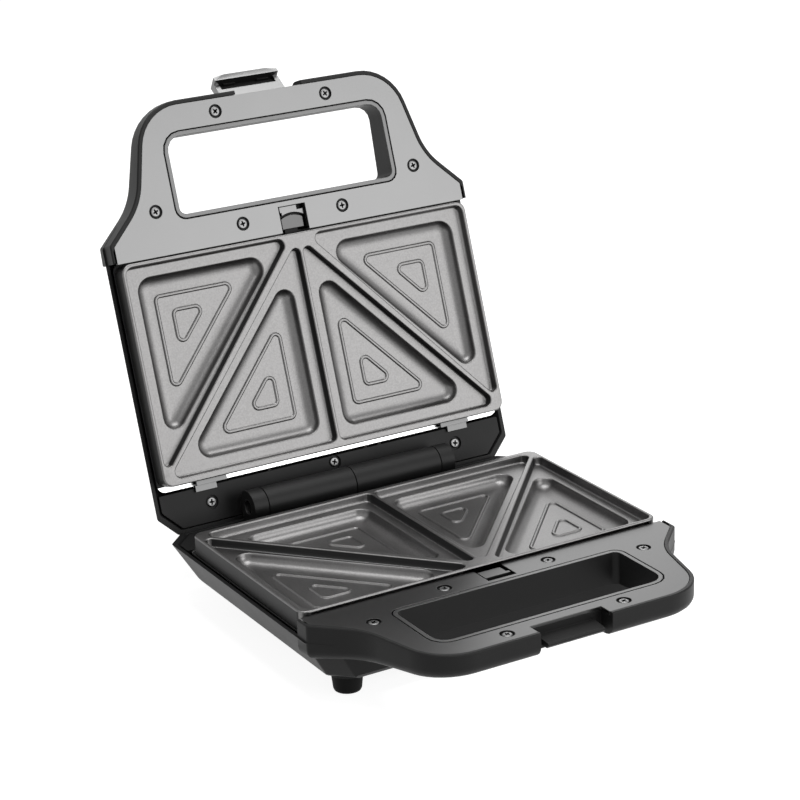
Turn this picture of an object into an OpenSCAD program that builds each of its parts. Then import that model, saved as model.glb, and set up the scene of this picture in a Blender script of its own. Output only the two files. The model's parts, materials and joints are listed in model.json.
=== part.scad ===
// Sandwich toaster: two hinged halves, a loop handle, removable triangle plates and a front latch.
//
// Both halves are drawn in one "half frame", in millimetres. The parting plane is z = 0, the cooking
// side faces +Z, the hinge lies at +Y and the handle at -Y, and x = 0 is the middle. A depth is
// measured down from the parting plane. The base is that half stood on its feet, and the lid is
// that half mirrored, hinged to the base and swung open until it leans back on its stop.

/* [Plates] */
// Width of a cooking plate
plate_w = 236; // [216:1:256]
// Depth of a cooking plate, from its handle edge to its hinge edge
plate_d = 133.4; // [124:0.2:146]
// Radius of the plate's plan corners
plate_corner_r = 6; // [3:0.5:9]
// Thickness of the cast plate under its lands and pockets
plate_wall = 2.2; // [1.6:0.1:3]
// Gap between the two plates' rims when the toaster is shut
plate_nip = 0.3; // [0.2:0.1:1]
// Width of the sealing rim along the sides and the handle edge
rim_w = 2.2; // [1.6:0.1:3.2]
// Width of the sealing rim along the hinge edge
rear_rim_w = 4; // [3:0.1:5]
// Width of the middle rib between the two sandwiches
middle_rib_w = 2.2; // [1.6:0.1:3]
// Width of the rib that cuts a sandwich in two triangles
diagonal_rib_w = 2.8; // [2:0.1:3.6]
// Depth of the flat land below the rim
land_depth = 5; // [4:0.1:6.5]
// Draft of the wall between rim and land, measured across it
land_draft = 1; // [0.6:0.1:1.5]
// Width of the land round each pocket
land_w = 6.4; // [5:0.1:8]
// Depth of a pocket below its land
pocket_depth = 6; // [4.5:0.1:7]
// Width of a pocket's sloping wall
pocket_slope = 6; // [4.5:0.1:7]
// Height of the raised triangles on a pocket's floor
ridge_h = 0.8; // [0.4:0.1:1.2]
// Width of the raised triangles
ridge_w = 2; // [1.4:0.1:2.6]

/* [Casing] */
// Wall thickness of the mouldings
shell_wall = 2.4; // [2:0.1:3]
// Channel between the plate's edge and the casing beside it
plate_channel = 2.1; // [1.6:0.1:3]
// Depth of the casing's rim beside and behind the plate
rim_depth = 12; // [11:0.1:13]
// Depth of a half's outer face below the parting plane
tub_depth = 39; // [36:0.5:46]
// Lean of the casing's side walls from upright, in degrees
side_taper = 30; // [20:1:34]
// Lean of the casing's hinge-side wall, in degrees
rear_taper = 12; // [6:1:18]
// Lean of the casing's wall under the handle, in degrees
front_taper = 3; // [1:1:8]
// Radius between the casing's walls and its outer face
bottom_fillet = 9; // [6:0.5:12]
// Size of the chamfered corners at the hinge side
rear_chamfer = 11.5; // [8:0.5:14]

/* [Handle] */
// Reach of the handle beyond the plate's edge
handle_reach = 90.5; // [84:0.5:100]
// Thickness of a handle at its front edge, below the parting plane
handle_depth = 16; // [14.5:0.5:19]
// Extra thickness gained towards the casing, per millimetre
handle_slope = 0.088; // [0.05:0.001:0.11]
// How much narrower than the plate the handle is where its sides meet the front edge's line
handle_front_narrowing = 64.8; // [56:0.2:76]
// How much narrower than the plate the handle is at the foot of its flare
handle_root_narrowing = 37.2; // [30:0.2:46]
// Distance from the plate's edge to the foot of the flare
flare_reach = 34.4; // [30:0.2:38]
// Radius of the handle's two front corners in plan
handle_corner_r = 30; // [20:1:36]
// Radius of the flare's hollow curve in plan
flare_r = 40; // [24:1:48]
// Radius of the handle's rounded outer edge
handle_fillet = 6; // [4:0.5:7]
// Width of the hand opening
grip_w = 146; // [130:1:152]
// Size of the hand opening from front to back
grip_d = 46.3; // [38:0.1:48]
// Width of the bar in front of the hand opening
grip_bar_w = 21.2; // [20:0.1:24]
// Radius of the opening's two front corners
grip_front_r = 9; // [5:0.5:14]
// Radius of the opening's two rear corners
grip_rear_r = 4; // [2:0.5:8]

/* [Covers and screws] */
// Depth of the handle cover's face below the parting plane
cover_depth = 2.2; // [1.6:0.1:3]
// Thickness of the covers
cover_t = 2; // [1.6:0.1:2.6]
// Gap round the covers
cover_gap = 0.3; // [0.2:0.05:0.5]
// Gap between the handle cover and the plate
cover_plate_gap = 2.6; // [2:0.1:4]
// Diameter of a cover screw's head
screw_head_d = 7; // [6:0.1:8]
// Height of a cover screw's head
screw_head_h = 1.3; // [1:0.1:1.5]
// Diameter of a cover screw's shank
screw_d = 3; // [2.5:0.1:3.5]
// Length of a cover screw's shank
screw_l = 9; // [6:0.5:10]

/* [Hinge] */
// Distance of the hinge axis behind the plate's edge
hinge_setback = 21.8; // [20:0.1:26]
// Depth of the hinge axis below the parting plane
hinge_drop = 2.1; // [1:0.1:2.4]
// Diameter of the hinge barrel
barrel_d = 19.8; // [17:0.1:20]
// Length of the whole barrel
barrel_l = 140; // [120:1:150]
// Length of the two short end knuckles
knuckle_l = 10; // [8:0.5:14]
// Gap between neighbouring knuckles
knuckle_gap = 0.6; // [0.4:0.1:1]
// Outer diameter of the hollow hinge pin
hinge_pin_d = 10; // [8:0.1:11]
// Radial running clearance of the hinge pin and the latch pin
running_gap = 0.06; // [0.03:0.01:0.09]
// Angle between the shut lid and the lid on its stop, in degrees
open_angle = 108.8; // [95:0.1:112]

/* [Latch] */
// Width of the latch
latch_w = 43.6; // [38:0.2:48]
// Distance of the latch's pivot behind the handle's front edge
latch_setback = 7.2; // [6.8:0.1:7.6]
// Depth of the latch's pivot below the parting plane
latch_drop = 10.5; // [10:0.1:11]
// Diameter of the latch's barrel
latch_barrel_d = 9; // [8:0.1:9.4]
// Diameter of the latch pin
latch_pin_d = 4; // [3:0.1:5]
// Thickness of the latch's plate
latch_t = 5.2; // [4.6:0.1:6]
// Depth of the underside of the bar on the base that the latch hooks under
catch_depth = 12.5; // [12:0.1:12.8]
// Height of that bar's front face
catch_h = 3; // [2.4:0.1:3.4]
// Angle the latch swings from hooked to its stop, in degrees
latch_swing = 131; // [110:1:132]

/* [Release buttons] */
// Width of the plate release button
button_w = 17; // [14:0.5:20]
// Length of the button's window in the handle cover
window_l = 14.4; // [13:0.1:15]
// Travel of the button
button_travel = 3; // [2:0.1:3.2]

/* [Heating] */
// Diameter of the tubular heating element
element_d = 6.4; // [5.5:0.1:7]
// Radius of the element's bends at its middle
element_bend_r = 14; // [12:0.5:18]
// Gap between the plate's underside and the element
element_gap = 0.3; // [0.2:0.1:1]
// Thickness of the reflector tray's sheet
tray_t = 0.8; // [0.6:0.1:1.2]
// Height of the wiring space between the reflector tray and the casing's floor
wiring_space = 10.8; // [10.4:0.1:13]

/* [Feet and cord] */
// Height of a rubber foot below the casing
foot_h = 11; // [9:0.5:14]
// Diameter of a foot where it meets the casing
foot_d = 18; // [15:0.5:20]
// Distance of the front feet from the middle of the plate
front_foot_reach = 71; // [64:0.5:74]
// Distance of the rear feet from the middle of the plate
rear_foot_reach = 79; // [70:0.5:80]
// How much narrower than the plate the front feet stand, from axis to axis
front_foot_narrowing = 49; // [46:1:66]
// How much narrower than the plate the rear feet stand, from axis to axis
rear_foot_narrowing = 91; // [84:1:96]
// Diameter of the cord's passage through its gland
gland_bore_d = 7; // [6:0.1:8.5]
// Distance from the plate's left edge to the axis of the cord gland
gland_inset = 40; // [38:0.5:41]

/* [Hidden] */
// Overlap used where one shape is cut from or fused with another
bite = 1;
// Smallest radius left on a corner
least_r = 0.2;
half_w = plate_w / 2;
half_d = plate_d / 2;
hinge_y = half_d + hinge_setback;
hinge_z = -hinge_drop;
parting_z = tub_depth + foot_h;
tub_x = half_w + plate_channel + shell_wall;
rear_overhang = 7.8;
tub_rear_y = hinge_y + rear_overhang;
handle_front_w = plate_w - handle_front_narrowing;
handle_root_w = plate_w - handle_root_narrowing;
handle_front_y = -half_d - handle_reach;
flare_y = -half_d - flare_reach;
handle_corner_x = tub_x - 1;
handle_corner_y = flare_y + handle_corner_x - handle_root_w / 2;
handle_rear_y = -half_d - 1.4;
grip_front_y = handle_front_y + grip_bar_w;
grip_rear_y = grip_front_y + grip_d;
tub_front_y = grip_rear_y - 0.5;
front_corner_cut = 12;
cover_under = cover_depth + cover_t;
cover_rear_y = -half_d - cover_plate_gap;
cover_inset = shell_wall + cover_gap;
rear_cover_depth = rim_depth + 0.3;
rear_cover_y = half_d + 4.8;
strip_rear_y = tub_rear_y - draw_in(rear_cover_depth + cover_t, rear_taper) - shell_wall - cover_gap;
strip_x = tub_x - draw_in(rear_cover_depth + cover_t, side_taper) - shell_wall - cover_gap;
front_foot_x = (plate_w - front_foot_narrowing) / 2;
rear_foot_x = (plate_w - rear_foot_narrowing) / 2;
gland_x = gland_inset - half_w;
tray_depth = tub_depth - shell_wall - wiring_space - tray_t;
post_d = 8;
pilot_d = screw_d + 0.1;
handle_screws = [[37.6, handle_front_y + 10.4], [handle_root_w / 2 - 10.9, -half_d - 27.3], [34.2, -half_d - 11.1]];
rear_screws = [[32.5 - half_w, half_d + 15], [0, half_d + 8.8], [half_w - 32.5, half_d + 15]];

// ---- plan outlines -------------------------------------------------------------------------
// A corner is [x, y, radius], and corners run anticlockwise seen from +Z.

function left_of(v) = [-v[1], v[0]];
function unit(v) = v / norm(v);
function corner(c, i) = c[(i + len(c)) % len(c)];
function heading(c, i) = unit([corner(c, i + 1)[0] - corner(c, i)[0], corner(c, i + 1)[1] - corner(c, i)[1]]);

// Moves every edge of the outline inwards by e and keeps the arcs concentric.
function inset(c, e) = [
    for (i = [0:len(c) - 1])
        let (a = heading(c, i - 1), b = heading(c, i), k = e / (1 + a * b), n = left_of(a) + left_of(b))
        [c[i][0] + n[0] * k, c[i][1] + n[1] * k, max(least_r, c[i][2] - e * sign(cross(a, b)))]
];

// The points of the arc that rounds corner i, in the given number of steps.
function corner_arc(c, i, steps) =
    let (
        a = heading(c, i - 1),
        b = heading(c, i),
        side = sign(cross(a, b)),
        turn = acos(min(1, a * b)),
        r = corner(c, i)[2],
        spoke = -left_of(a) * r * side,
        centre = [corner(c, i)[0], corner(c, i)[1]] - a * r * tan(turn / 2) - spoke
    )
    [for (k = [0:steps]) let (f = side * turn * k / steps) centre + spoke * cos(f) + left_of(spoke) * sin(f)];

function outline(c, steps = 4) = [for (i = [0:len(c) - 1]) each corner_arc(c, i, steps)];

// The outline laid at a depth. tilt makes it sink by that much per millimetre behind from_y.
function ring(c, depth, steps = 4, tilt = 0, from_y = 0) =
    [for (p = outline(c, steps)) [p[0], p[1], -depth - tilt * (p[1] - from_y)]];

function mirrored(c) = [for (i = [len(c) - 1:-1:0]) [-c[i][0], c[i][1], c[i][2]]];

function box_corners(x, y0, y1, r0, r1) = [[-x, y0, r0], [x, y0, r0], [x, y1, r1], [-x, y1, r1]];

// A solid skinned over rings of equal length, listed from the deepest to the highest.
module loft(rings) {
    n = len(rings[0]);
    sides = [
        for (i = [0:len(rings) - 2]) for (j = [0:n - 1])
            let (a = i * n + j, b = i * n + (j + 1) % n, c = a + n, d = b + n)
            each [[a, c, d], [a, d, b]]
    ];
    floor_face = [for (j = [0:n - 1]) j];
    top_face = [for (j = [n - 1:-1:0]) (len(rings) - 1) * n + j];
    polyhedron(points = [for (r = rings) each r], faces = concat([floor_face], sides, [top_face]));
}

// A straight prism of an outline between two depths.
module slab(c, depth0, depth1, steps = 4) {
    translate([0, 0, -depth1]) linear_extrude(depth1 - depth0) polygon(outline(c, steps));
}

module both_sides() {
    children();
    mirror([1, 0, 0]) children();
}

module at_depth(x, y, depth) {
    translate([x, y, -depth]) children();
}

// Draws its children at every handle cover screw.
module each_handle_screw() {
    for (s = handle_screws) both_sides() translate([s[0], s[1], 0]) children();
}

module each_rear_screw() {
    for (s = rear_screws) translate([s[0], s[1], 0]) children();
}

// ---- the two places a half can stand -------------------------------------------------------

module as_base() {
    translate([0, -frame_y, parting_z]) children();
}

module as_lid() {
    translate([0, hinge_y - frame_y, parting_z + hinge_z]) rotate([-open_angle, 0, 0])
        translate([0, -hinge_y, -hinge_z]) mirror([0, 0, 1]) children();
}

// ---- casing --------------------------------------------------------------------------------

// How far a tapered wall has drawn in at a depth, with the fillet at its foot.
function draw_in(depth, taper) =
    let (
        bend = tub_depth - bottom_fillet * (1 - sin(taper)),
        straight = (bend - rim_depth) * tan(taper),
        rise = min(1, sin(taper) + (depth - bend) / bottom_fillet)
    )
    depth <= bend ? (depth - rim_depth) * tan(taper) : straight + bottom_fillet * (cos(taper) - sqrt(1 - rise * rise));

function tub_corners(depth, wall) =
    let (
        x = tub_x - draw_in(depth, side_taper) - wall,
        y0 = tub_front_y + draw_in(depth, front_taper) + wall,
        y1 = tub_rear_y - draw_in(depth, rear_taper) - wall,
        f = front_corner_cut,
        r = rear_chamfer,
        edge_r = 2.5,
        low = y0 + f,
        high = y1 - r
    )
    [
        [f - x, y0, edge_r], [x - f, y0, edge_r], [x, low, edge_r], [x, high, edge_r],
        [x - r, y1, edge_r], [r - x, y1, edge_r], [-x, high, edge_r], [-x, low, edge_r]
    ];

// Depths at which the casing's skin has a ring: the rim, the straight wall, then the fillet.
tub_bend = tub_depth - bottom_fillet * (1 - sin(side_taper));
tub_levels = concat(
    [for (f = [90:-15:side_taper + 15]) tub_bend + bottom_fillet * (sin(f) - sin(side_taper))],
    [tub_bend, rim_depth]
);

module tub_solid() {
    loft([for (d = tub_levels) ring(tub_corners(d, 0), d, 3)]);
}

module tub_hollow() {
    floor_share = shell_wall / (tub_depth - rim_depth);
    inner = [for (d = tub_levels) ring(tub_corners(d, shell_wall), d - floor_share * (d - rim_depth), 3)];
    open_top = ring(tub_corners(rim_depth, shell_wall), -bite, 3);
    loft(concat(inner, [open_top]));
}

// Right half of the handle's plan from the front corner to the shoulder beside the plate.
handle_side = [
    [handle_front_w / 2, handle_front_y, handle_corner_r],
    [handle_root_w / 2, flare_y, flare_r],
    [handle_corner_x, handle_corner_y, 2.5],
    [handle_corner_x, handle_rear_y, 0.5]
];
handle_corners = concat(handle_side, mirrored(handle_side));

// The plan curve gets more steps where its radius is large.
function handle_ring(e, depth, tilt) = ring(inset(handle_corners, e), depth, 8, tilt, handle_front_y);

handle_top_round = 0.7;
fillet_angles = [90, 66, 42, 20, 0];

module handle_solid() {
    top_depth = cover_depth - 0.3 - (0.3 + handle_top_round / 2);
    low = [
        for (f = fillet_angles) handle_ring(
            handle_fillet * (1 - cos(f)), handle_depth - handle_fillet * (1 - sin(f)), handle_slope)
    ];
    high = [handle_ring(0, cover_depth + handle_top_round / 2, 0), handle_ring(2 * handle_top_round, top_depth, 0)];
    rim_box = 2 * handle_corner_x + 2 * bite;
    difference() {
        loft(concat(low, high));
        // The rim is cut off flat just above the cover's edge.
        at_depth(-rim_box / 2, handle_front_y - bite, cover_depth - 0.3) cube([rim_box, rim_box / 2, rim_box / 2]);
    }
}

module handle_hollow() {
    floor_depth = handle_depth - shell_wall;
    inner_fillet = handle_fillet - shell_wall;
    low = [
        for (f = [90, 45, 0]) handle_ring(
            shell_wall + inner_fillet * (1 - cos(f)), floor_depth - inner_fillet * (1 - sin(f)), handle_slope)
    ];
    loft(concat(low, [handle_ring(shell_wall, -bite, 0)]));
}

grip_corners = box_corners(grip_w / 2, grip_front_y, grip_rear_y, grip_front_r, grip_rear_r);
grip_bottom = handle_depth + handle_slope * (grip_rear_y - handle_front_y) + 8;

// Posts that the covers' screws bite into.
module screw_posts() {
    each_handle_screw() at_depth(0, 0, tub_depth - bite) cylinder(d = post_d, h = tub_depth - bite - cover_under - 0.1);
    each_rear_screw() at_depth(0, 0, tub_depth - bite)
        cylinder(d = post_d, h = tub_depth - bite - rear_cover_depth - cover_t - 0.1);
}

module screw_pilots() {
    each_handle_screw() at_depth(0, 0, cover_under + screw_l + 1) cylinder(d = pilot_d, h = screw_l + 2);
    each_rear_screw() at_depth(0, 0, rear_cover_depth + cover_t + screw_l + 1) cylinder(d = pilot_d, h = screw_l + 2);
}

// Wall under the handle cover's rear edge, with a gap for the release button's tongue.
partition_y = cover_rear_y + 0.2;
partition_t = 2;
tongue_w = 9;

module partition() {
    difference() {
        at_depth(-tub_x, partition_y - partition_t, tub_depth - bite)
            cube([2 * tub_x, partition_t, tub_depth - bite - cover_under - 0.1]);
        at_depth(-window_w / 2, partition_y - partition_t - bite, button_floor)
            cube([window_w, partition_t + 2 * bite, button_floor]);
    }
}

// Platform that the release button slides on, between two guide rails.
button_top = cover_under + 0.4;
button_h = 7;
button_floor = button_top + button_h + 0.3;
button_rear_y = cover_rear_y - 0.6;
button_front_y = button_rear_y - window_l + 1.8;
rail_t = 2;

module button_guide() {
    reach = grip_rear_y + shell_wall - bite;
    guide_w = button_w + 0.8;
    at_depth(-guide_w / 2 - rail_t, reach, tub_depth - bite)
        cube([guide_w + 2 * rail_t, partition_y - reach, tub_depth - bite - button_floor]);
    both_sides() at_depth(guide_w / 2, reach, tub_depth - bite)
        cube([rail_t, partition_y - reach, tub_depth - bite - cover_under - 0.1]);
}

// Low pillars under the reflector tray.
tray_post_x = 76;
tray_post_y = 40;
tray_post_d = 10;

module each_tray_post() {
    for (y = [-tray_post_y, tray_post_y]) both_sides() translate([tray_post_x, y, 0]) children();
}

module tray_posts() {
    each_tray_post() at_depth(0, 0, tub_depth - bite) cylinder(d = tray_post_d, h = tub_depth - bite - tray_depth - tray_t);
}

module tray_pilots() {
    each_tray_post() at_depth(0, 0, tray_depth + tray_t + 8) cylinder(d = pilot_d, h = 9);
}

// Everything that stays standing inside the hollow casing.
module inner_features() {
    slab(inset(grip_corners, -shell_wall), -bite, tub_depth);
    screw_posts();
    partition();
    button_guide();
    tray_posts();
}

// ---- hinge ---------------------------------------------------------------------------------

// One knuckle between two places on the hinge axis, with the web that ties it to its own casing.
// The axis lies at height z in that half's frame.
module knuckle(x0, x1, z) {
    a = x0 + knuckle_gap / 2;
    l = x1 - x0 - knuckle_gap;
    web_y0 = hinge_y - 6.5;
    web_y1 = hinge_y + 6;
    translate([a, hinge_y, z]) rotate([0, 90, 0]) cylinder(d = barrel_d, h = l);
    at_depth(a, web_y0, rim_depth + 8) cube([l, web_y1 - web_y0, rim_depth + 8 + z]);
}

// The base carries the far left knuckle and the right half of the barrel. Mirrored, this gives the
// lid's two, so the knuckles interleave.
module knuckles(z) {
    knuckle(-barrel_l / 2, -barrel_l / 2 + knuckle_l, z);
    knuckle(0, barrel_l / 2 - knuckle_l, z);
}

module knuckle_cuts(depth0, depth1) {
    for (s = [[-barrel_l / 2, -barrel_l / 2 + knuckle_l], [0, barrel_l / 2 - knuckle_l]])
        at_depth(s[0] - 0.1, hinge_y - 7.3, depth1) cube([s[1] - s[0] + 0.2, 40, depth1 - depth0]);
}

module hinge_bore(z) {
    translate([-barrel_l / 2 - bite, hinge_y, z]) rotate([0, 90, 0])
        cylinder(d = hinge_pin_d + 2 * running_gap, h = barrel_l + 2 * bite);
}

// ---- casings -------------------------------------------------------------------------------

module half_shell() {
    difference() {
        union() {
            tub_solid();
            handle_solid();
        }
        difference() {
            union() {
                tub_hollow();
                handle_hollow();
            }
            inner_features();
        }
        slab(grip_corners, -2 * bite, grip_bottom);
        screw_pilots();
        tray_pilots();
        // The collar round the hand opening stands level with the cover.
        slab(inset(grip_corners, -shell_wall - bite), -2 * bite, cover_depth);
    }
}

// Recess in the base handle's front edge, with the bar that the latch hooks under. The bar stops
// short of the recess's ends, so that the latch's cheeks pass it.
catch_w = latch_w + 2.4;
catch_bar_w = latch_w - 7;
catch_back_y = handle_front_y + 11.2;
catch_front_y = handle_front_y + 0.2;
catch_chamfer = 1.5;
latch_y = handle_front_y + latch_setback;
latch_z = -latch_drop;

module catch_profile() {
    top = -catch_depth + catch_h;
    polygon([
        [catch_back_y + bite, top + 1],
        [catch_back_y, top + 1],
        [catch_front_y + 0.5, top + 0.1],
        [catch_front_y, top - 0.5],
        [catch_front_y, catch_chamfer - catch_depth],
        [catch_front_y + catch_chamfer, -catch_depth],
        [catch_back_y + bite, -catch_depth]
    ]);
}

module across(w) {
    translate([-w / 2, 0, 0]) rotate([90, 0, 90]) linear_extrude(w) children();
}

foot_spots = [
    ["front_left_foot", -front_foot_x, -front_foot_reach], ["front_right_foot", front_foot_x, -front_foot_reach],
    ["rear_left_foot", -rear_foot_x, rear_foot_reach], ["rear_right_foot", rear_foot_x, rear_foot_reach]
];
foot_hole_d = 4.2;
foot_screw_d = 4;
foot_pad_d = foot_d + 1;
foot_top = tub_depth + 0.6;

module each_foot() {
    for (f = foot_spots) translate([f[1], f[2], 0]) children();
}

// The gland sits in the wall's height between the rear cover and the floor, and beside the cover's
// screw post, so that the cord runs straight in.
gland_room = tub_depth - shell_wall - rear_cover_depth - cover_t;
gland_d = gland_bore_d + 5;
gland_collar_r = gland_d / 2 + 1;
gland_l = 6;
gland_depth = rear_cover_depth + cover_t + 0.445 * gland_room;
gland_y = tub_rear_y - (gland_depth - rim_depth) * tan(rear_taper);

module at_gland() {
    at_depth(gland_x, gland_y, gland_depth) rotate([-90 - rear_taper, 0, 0]) children();
}

// Wall round a recess of the handle's front edge that reaches back to a given y.
module recess_wall(w, back_y) {
    intersection() {
        difference() {
            at_depth(-w / 2 - shell_wall, handle_front_y - bite, grip_bottom)
                cube([w + 2 * shell_wall, back_y + shell_wall - handle_front_y + bite, grip_bottom - cover_under - 0.1]);
            at_depth(-w / 2, handle_front_y - 2 * bite, grip_bottom + bite)
                cube([w, back_y - handle_front_y + 2 * bite, grip_bottom + 2 * bite]);
        }
        handle_solid();
    }
}

vent_l = 34;
vent_w = 3;
vent_pitch = 8;

module base_shell() {
    color("#242427") as_base() difference() {
        union() {
            difference() {
                half_shell();
                at_depth(-catch_w / 2, handle_front_y - bite, grip_bottom)
                    cube([catch_w, catch_back_y - handle_front_y + bite, grip_bottom + bite]);
            }
            // Back wall and ends of the recess, closed up to the cover, and the bar.
            recess_wall(catch_w, catch_back_y);
            across(catch_bar_w) catch_profile();
            difference() {
                each_foot() at_depth(0, 0, foot_top) cylinder(d = foot_pad_d, h = 6);
                tub_hollow();
            }
            each_foot() at_depth(0, 0, tub_depth - bite) cylinder(d = post_d, h = 8);
            difference() {
                knuckles(hinge_z);
                tub_outside();
            }
        }
        hinge_bore(hinge_z);
        each_foot() at_depth(0, 0, foot_top + bite) cylinder(d = foot_screw_d + 0.1, h = 9);
        at_gland() cylinder(d = gland_d + 0.2, h = 12, center = true);
        for (i = [-3:3]) both_sides()
            at_depth(14, i * vent_pitch - vent_w / 2, tub_depth + bite) cube([vent_l, vent_w, 2 * bite + shell_wall]);
    }
}

// What lies behind or below the casing, so that a web never stands out of it.
module tub_outside() {
    at_depth(-tub_x, tub_rear_y - 1.2, tub_depth) cube([2 * tub_x, 20, tub_depth - rim_depth + 0.4]);
}

// Slot across the lid handle's front edge that the latch swings in.
latch_slot_w = latch_w + 1.6;
latch_slot_rear_y = latch_y + 7;
pin_boss = 4;
lens_d = 8;
lens_x = 15;
lens_y = -half_d + 4;

module lid_shell() {
    color("#242427") as_lid() difference() {
        union() {
            difference() {
                half_shell();
                at_depth(-latch_slot_w / 2, handle_front_y - bite, grip_bottom)
                    cube([latch_slot_w, latch_slot_rear_y - handle_front_y + bite, grip_bottom + bite]);
            }
            // Walls of the slot, and the thicker cheeks that hold the pin.
            recess_wall(latch_slot_w, latch_slot_rear_y);
            both_sides() at_depth(latch_slot_w / 2, latch_y - 4.4, handle_depth - 1)
                cube([pin_boss, latch_slot_rear_y + shell_wall - latch_y + 4.4, handle_depth - 1 - cover_under - 0.1]);
            difference() {
                mirror([1, 0, 0]) knuckles(-hinge_z);
                tub_outside();
            }
        }
        hinge_bore(-hinge_z);
        translate([-latch_slot_w / 2 - 3, latch_y, latch_z]) rotate([0, 90, 0])
            cylinder(d = latch_pin_d + 0.04, h = latch_slot_w + 6);
        both_sides() at_depth(lens_x, lens_y, tub_depth + bite) cylinder(d = lens_d + 0.2, h = shell_wall + 2 * bite);
    }
}

// ---- covers --------------------------------------------------------------------------------

module cover_screw_holes(depth) {
    at_depth(0, 0, depth + cover_t + bite) cylinder(d = screw_d + 0.4, h = cover_t + 2 * bite);
    at_depth(0, 0, depth + screw_head_h) cylinder(d = screw_head_d + 1.4, h = screw_head_h + bite);
}

window_w = button_w + 1.4;

module handle_cover() {
    difference() {
        slab(inset(handle_corners, cover_inset), cover_depth, cover_under, 8);
        at_depth(-tub_x, cover_rear_y, cover_under + bite) cube([2 * tub_x, 20, cover_under + 2 * bite]);
        slab(inset(grip_corners, -shell_wall - cover_gap), 0, cover_under + bite);
        at_depth(-window_w / 2, cover_rear_y - window_l, cover_under + bite) cube([window_w, 40, cover_under + 2 * bite]);
        each_handle_screw() cover_screw_holes(cover_depth);
    }
}

module base_handle_cover() {
    color("#5c5d60") as_base() difference() {
        handle_cover();
        at_depth(-catch_w / 2, handle_front_y, cover_under + bite)
            cube([catch_w, catch_back_y - handle_front_y, cover_under + 2 * bite]);
    }
}

module lid_handle_cover() {
    color("#b4b5b8") as_lid() handle_cover();
}

strip_corners = let (x = strip_x, y0 = rear_cover_y, y1 = strip_rear_y, c = rear_chamfer)
    [[-x, y0, 1], [x, y0, 1], [x, y1 - c, 2], [x - c, y1, 2], [c - x, y1, 2], [-x, y1 - c, 2]];

module rear_cover() {
    difference() {
        slab(strip_corners, rear_cover_depth, rear_cover_depth + cover_t);
        each_rear_screw() cover_screw_holes(rear_cover_depth);
        knuckle_cuts(rear_cover_depth - bite, rear_cover_depth + cover_t + bite);
    }
}

module base_rear_cover() {
    color("#2c2c2f") as_base() rear_cover();
}

module lid_rear_cover() {
    color("#2c2c2f") as_lid() mirror([1, 0, 0]) rear_cover();
}

// A pan-head screw: its head's underside is at z = 0.
module screw(head_d, head_h, shank_d, shank_l) {
    rotate_extrude($fn = 32) polygon([
        [0, -shank_l], [shank_d / 2 - 0.4, -shank_l], [shank_d / 2, 0.4 - shank_l], [shank_d / 2, 0],
        [head_d / 2, 0], [head_d / 2, head_h * 0.5], [head_d * 0.36, head_h * 0.85], [0, head_h]
    ]);
}

module cover_screws() {
    each_handle_screw() at_depth(0, 0, cover_depth + screw_head_h) screw(screw_head_d, screw_head_h - 0.1, screw_d, screw_l);
    each_rear_screw() at_depth(0, 0, rear_cover_depth + screw_head_h) screw(screw_head_d, screw_head_h - 0.1, screw_d, screw_l);
}

module base_cover_screws() {
    color("#c9cacb") as_base() cover_screws();
}

module lid_cover_screws() {
    color("#c9cacb") as_lid() cover_screws();
}

// ---- cooking plates ------------------------------------------------------------------------

plate_top = plate_nip / 2;
plate_skirt = rim_depth - 0.5;
plate_corners = box_corners(half_w, -half_d, half_d, plate_corner_r, plate_corner_r);

// The diagonal rib runs from the middle of the handle edge to a far corner at the hinge.
diagonal_a = [-1, -half_d];
diagonal_b = [half_w + 2.5, half_d];
diagonal = unit(diagonal_b - diagonal_a);

// Where the line that runs beside the diagonal at a distance crosses a given x or y. A positive
// distance lies on the hinge side.
function beside(gap) = diagonal_a + left_of(diagonal) * gap;
function at_y(gap, y) = beside(gap)[0] + (y - beside(gap)[1]) * diagonal[0] / diagonal[1];
function at_x(gap, x) = beside(gap)[1] + (x - beside(gap)[0]) * diagonal[1] / diagonal[0];

// The triangle next to the middle rib, and the one next to the plate's side, as inner corners of
// the rim. near_front keeps a flat between the cells at the handle edge.
near_front = 12;
inner_cell = let (x = middle_rib_w / 2, y = half_d - rear_rim_w, g = diagonal_rib_w / 2)
    [[x, at_x(g, x), 3.2], [at_y(g, y), y, 4], [x, y, 4]];
outer_cell = let (x = half_w - rim_w, y = rim_w - half_d, g = -diagonal_rib_w / 2)
    [[at_y(g, y) + 3, y, 4], [x, y, 5], [x, at_x(g, x), 3]];
inner_pocket = let (x = middle_rib_w / 2 + land_draft + land_w, y = half_d - rear_rim_w - land_draft - land_w, g = 7.4)
    [[x, at_x(g, x), 4], [at_y(g, y), y, 5], [x, y, 6]];
outer_pocket = let (x = half_w - rim_w - land_draft - land_w, y = rim_w + land_draft + land_w - half_d, g = -5.6)
    [[at_y(g, y), y, 5], [x, y, 8], [x, at_x(g, x), 5]];
cells = [inner_cell, outer_cell];
pockets = [inner_pocket, outer_pocket];
land_z = plate_top + land_depth;
floor_z = land_z + pocket_depth;

module cell_cut(c) {
    loft([ring(inset(c, land_draft), land_z), ring(c, plate_top), ring(c, -bite)]);
}

// A pocket's wall rolls over from the land, slopes down and runs out on the floor.
module pocket_cut(c) {
    shares = [[1, 1], [0.75, 0.92], [0.3, 0.5], [0.08, 0.12], [0, 0]];
    loft(concat(
        [for (s = shares) ring(inset(c, pocket_slope * s[0]), land_z + pocket_depth * s[1])],
        [ring(c, land_z - bite)]
    ));
}

// Two raised triangles, one inside the other, on a pocket's floor.
module ridges(c) {
    for (e = [pocket_slope + 5, pocket_slope + 14.6]) difference() {
        slab(inset(c, e), floor_z - ridge_h, floor_z + 0.5);
        slab(inset(c, e + ridge_w), floor_z - ridge_h - bite, floor_z + bite);
    }
}

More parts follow.
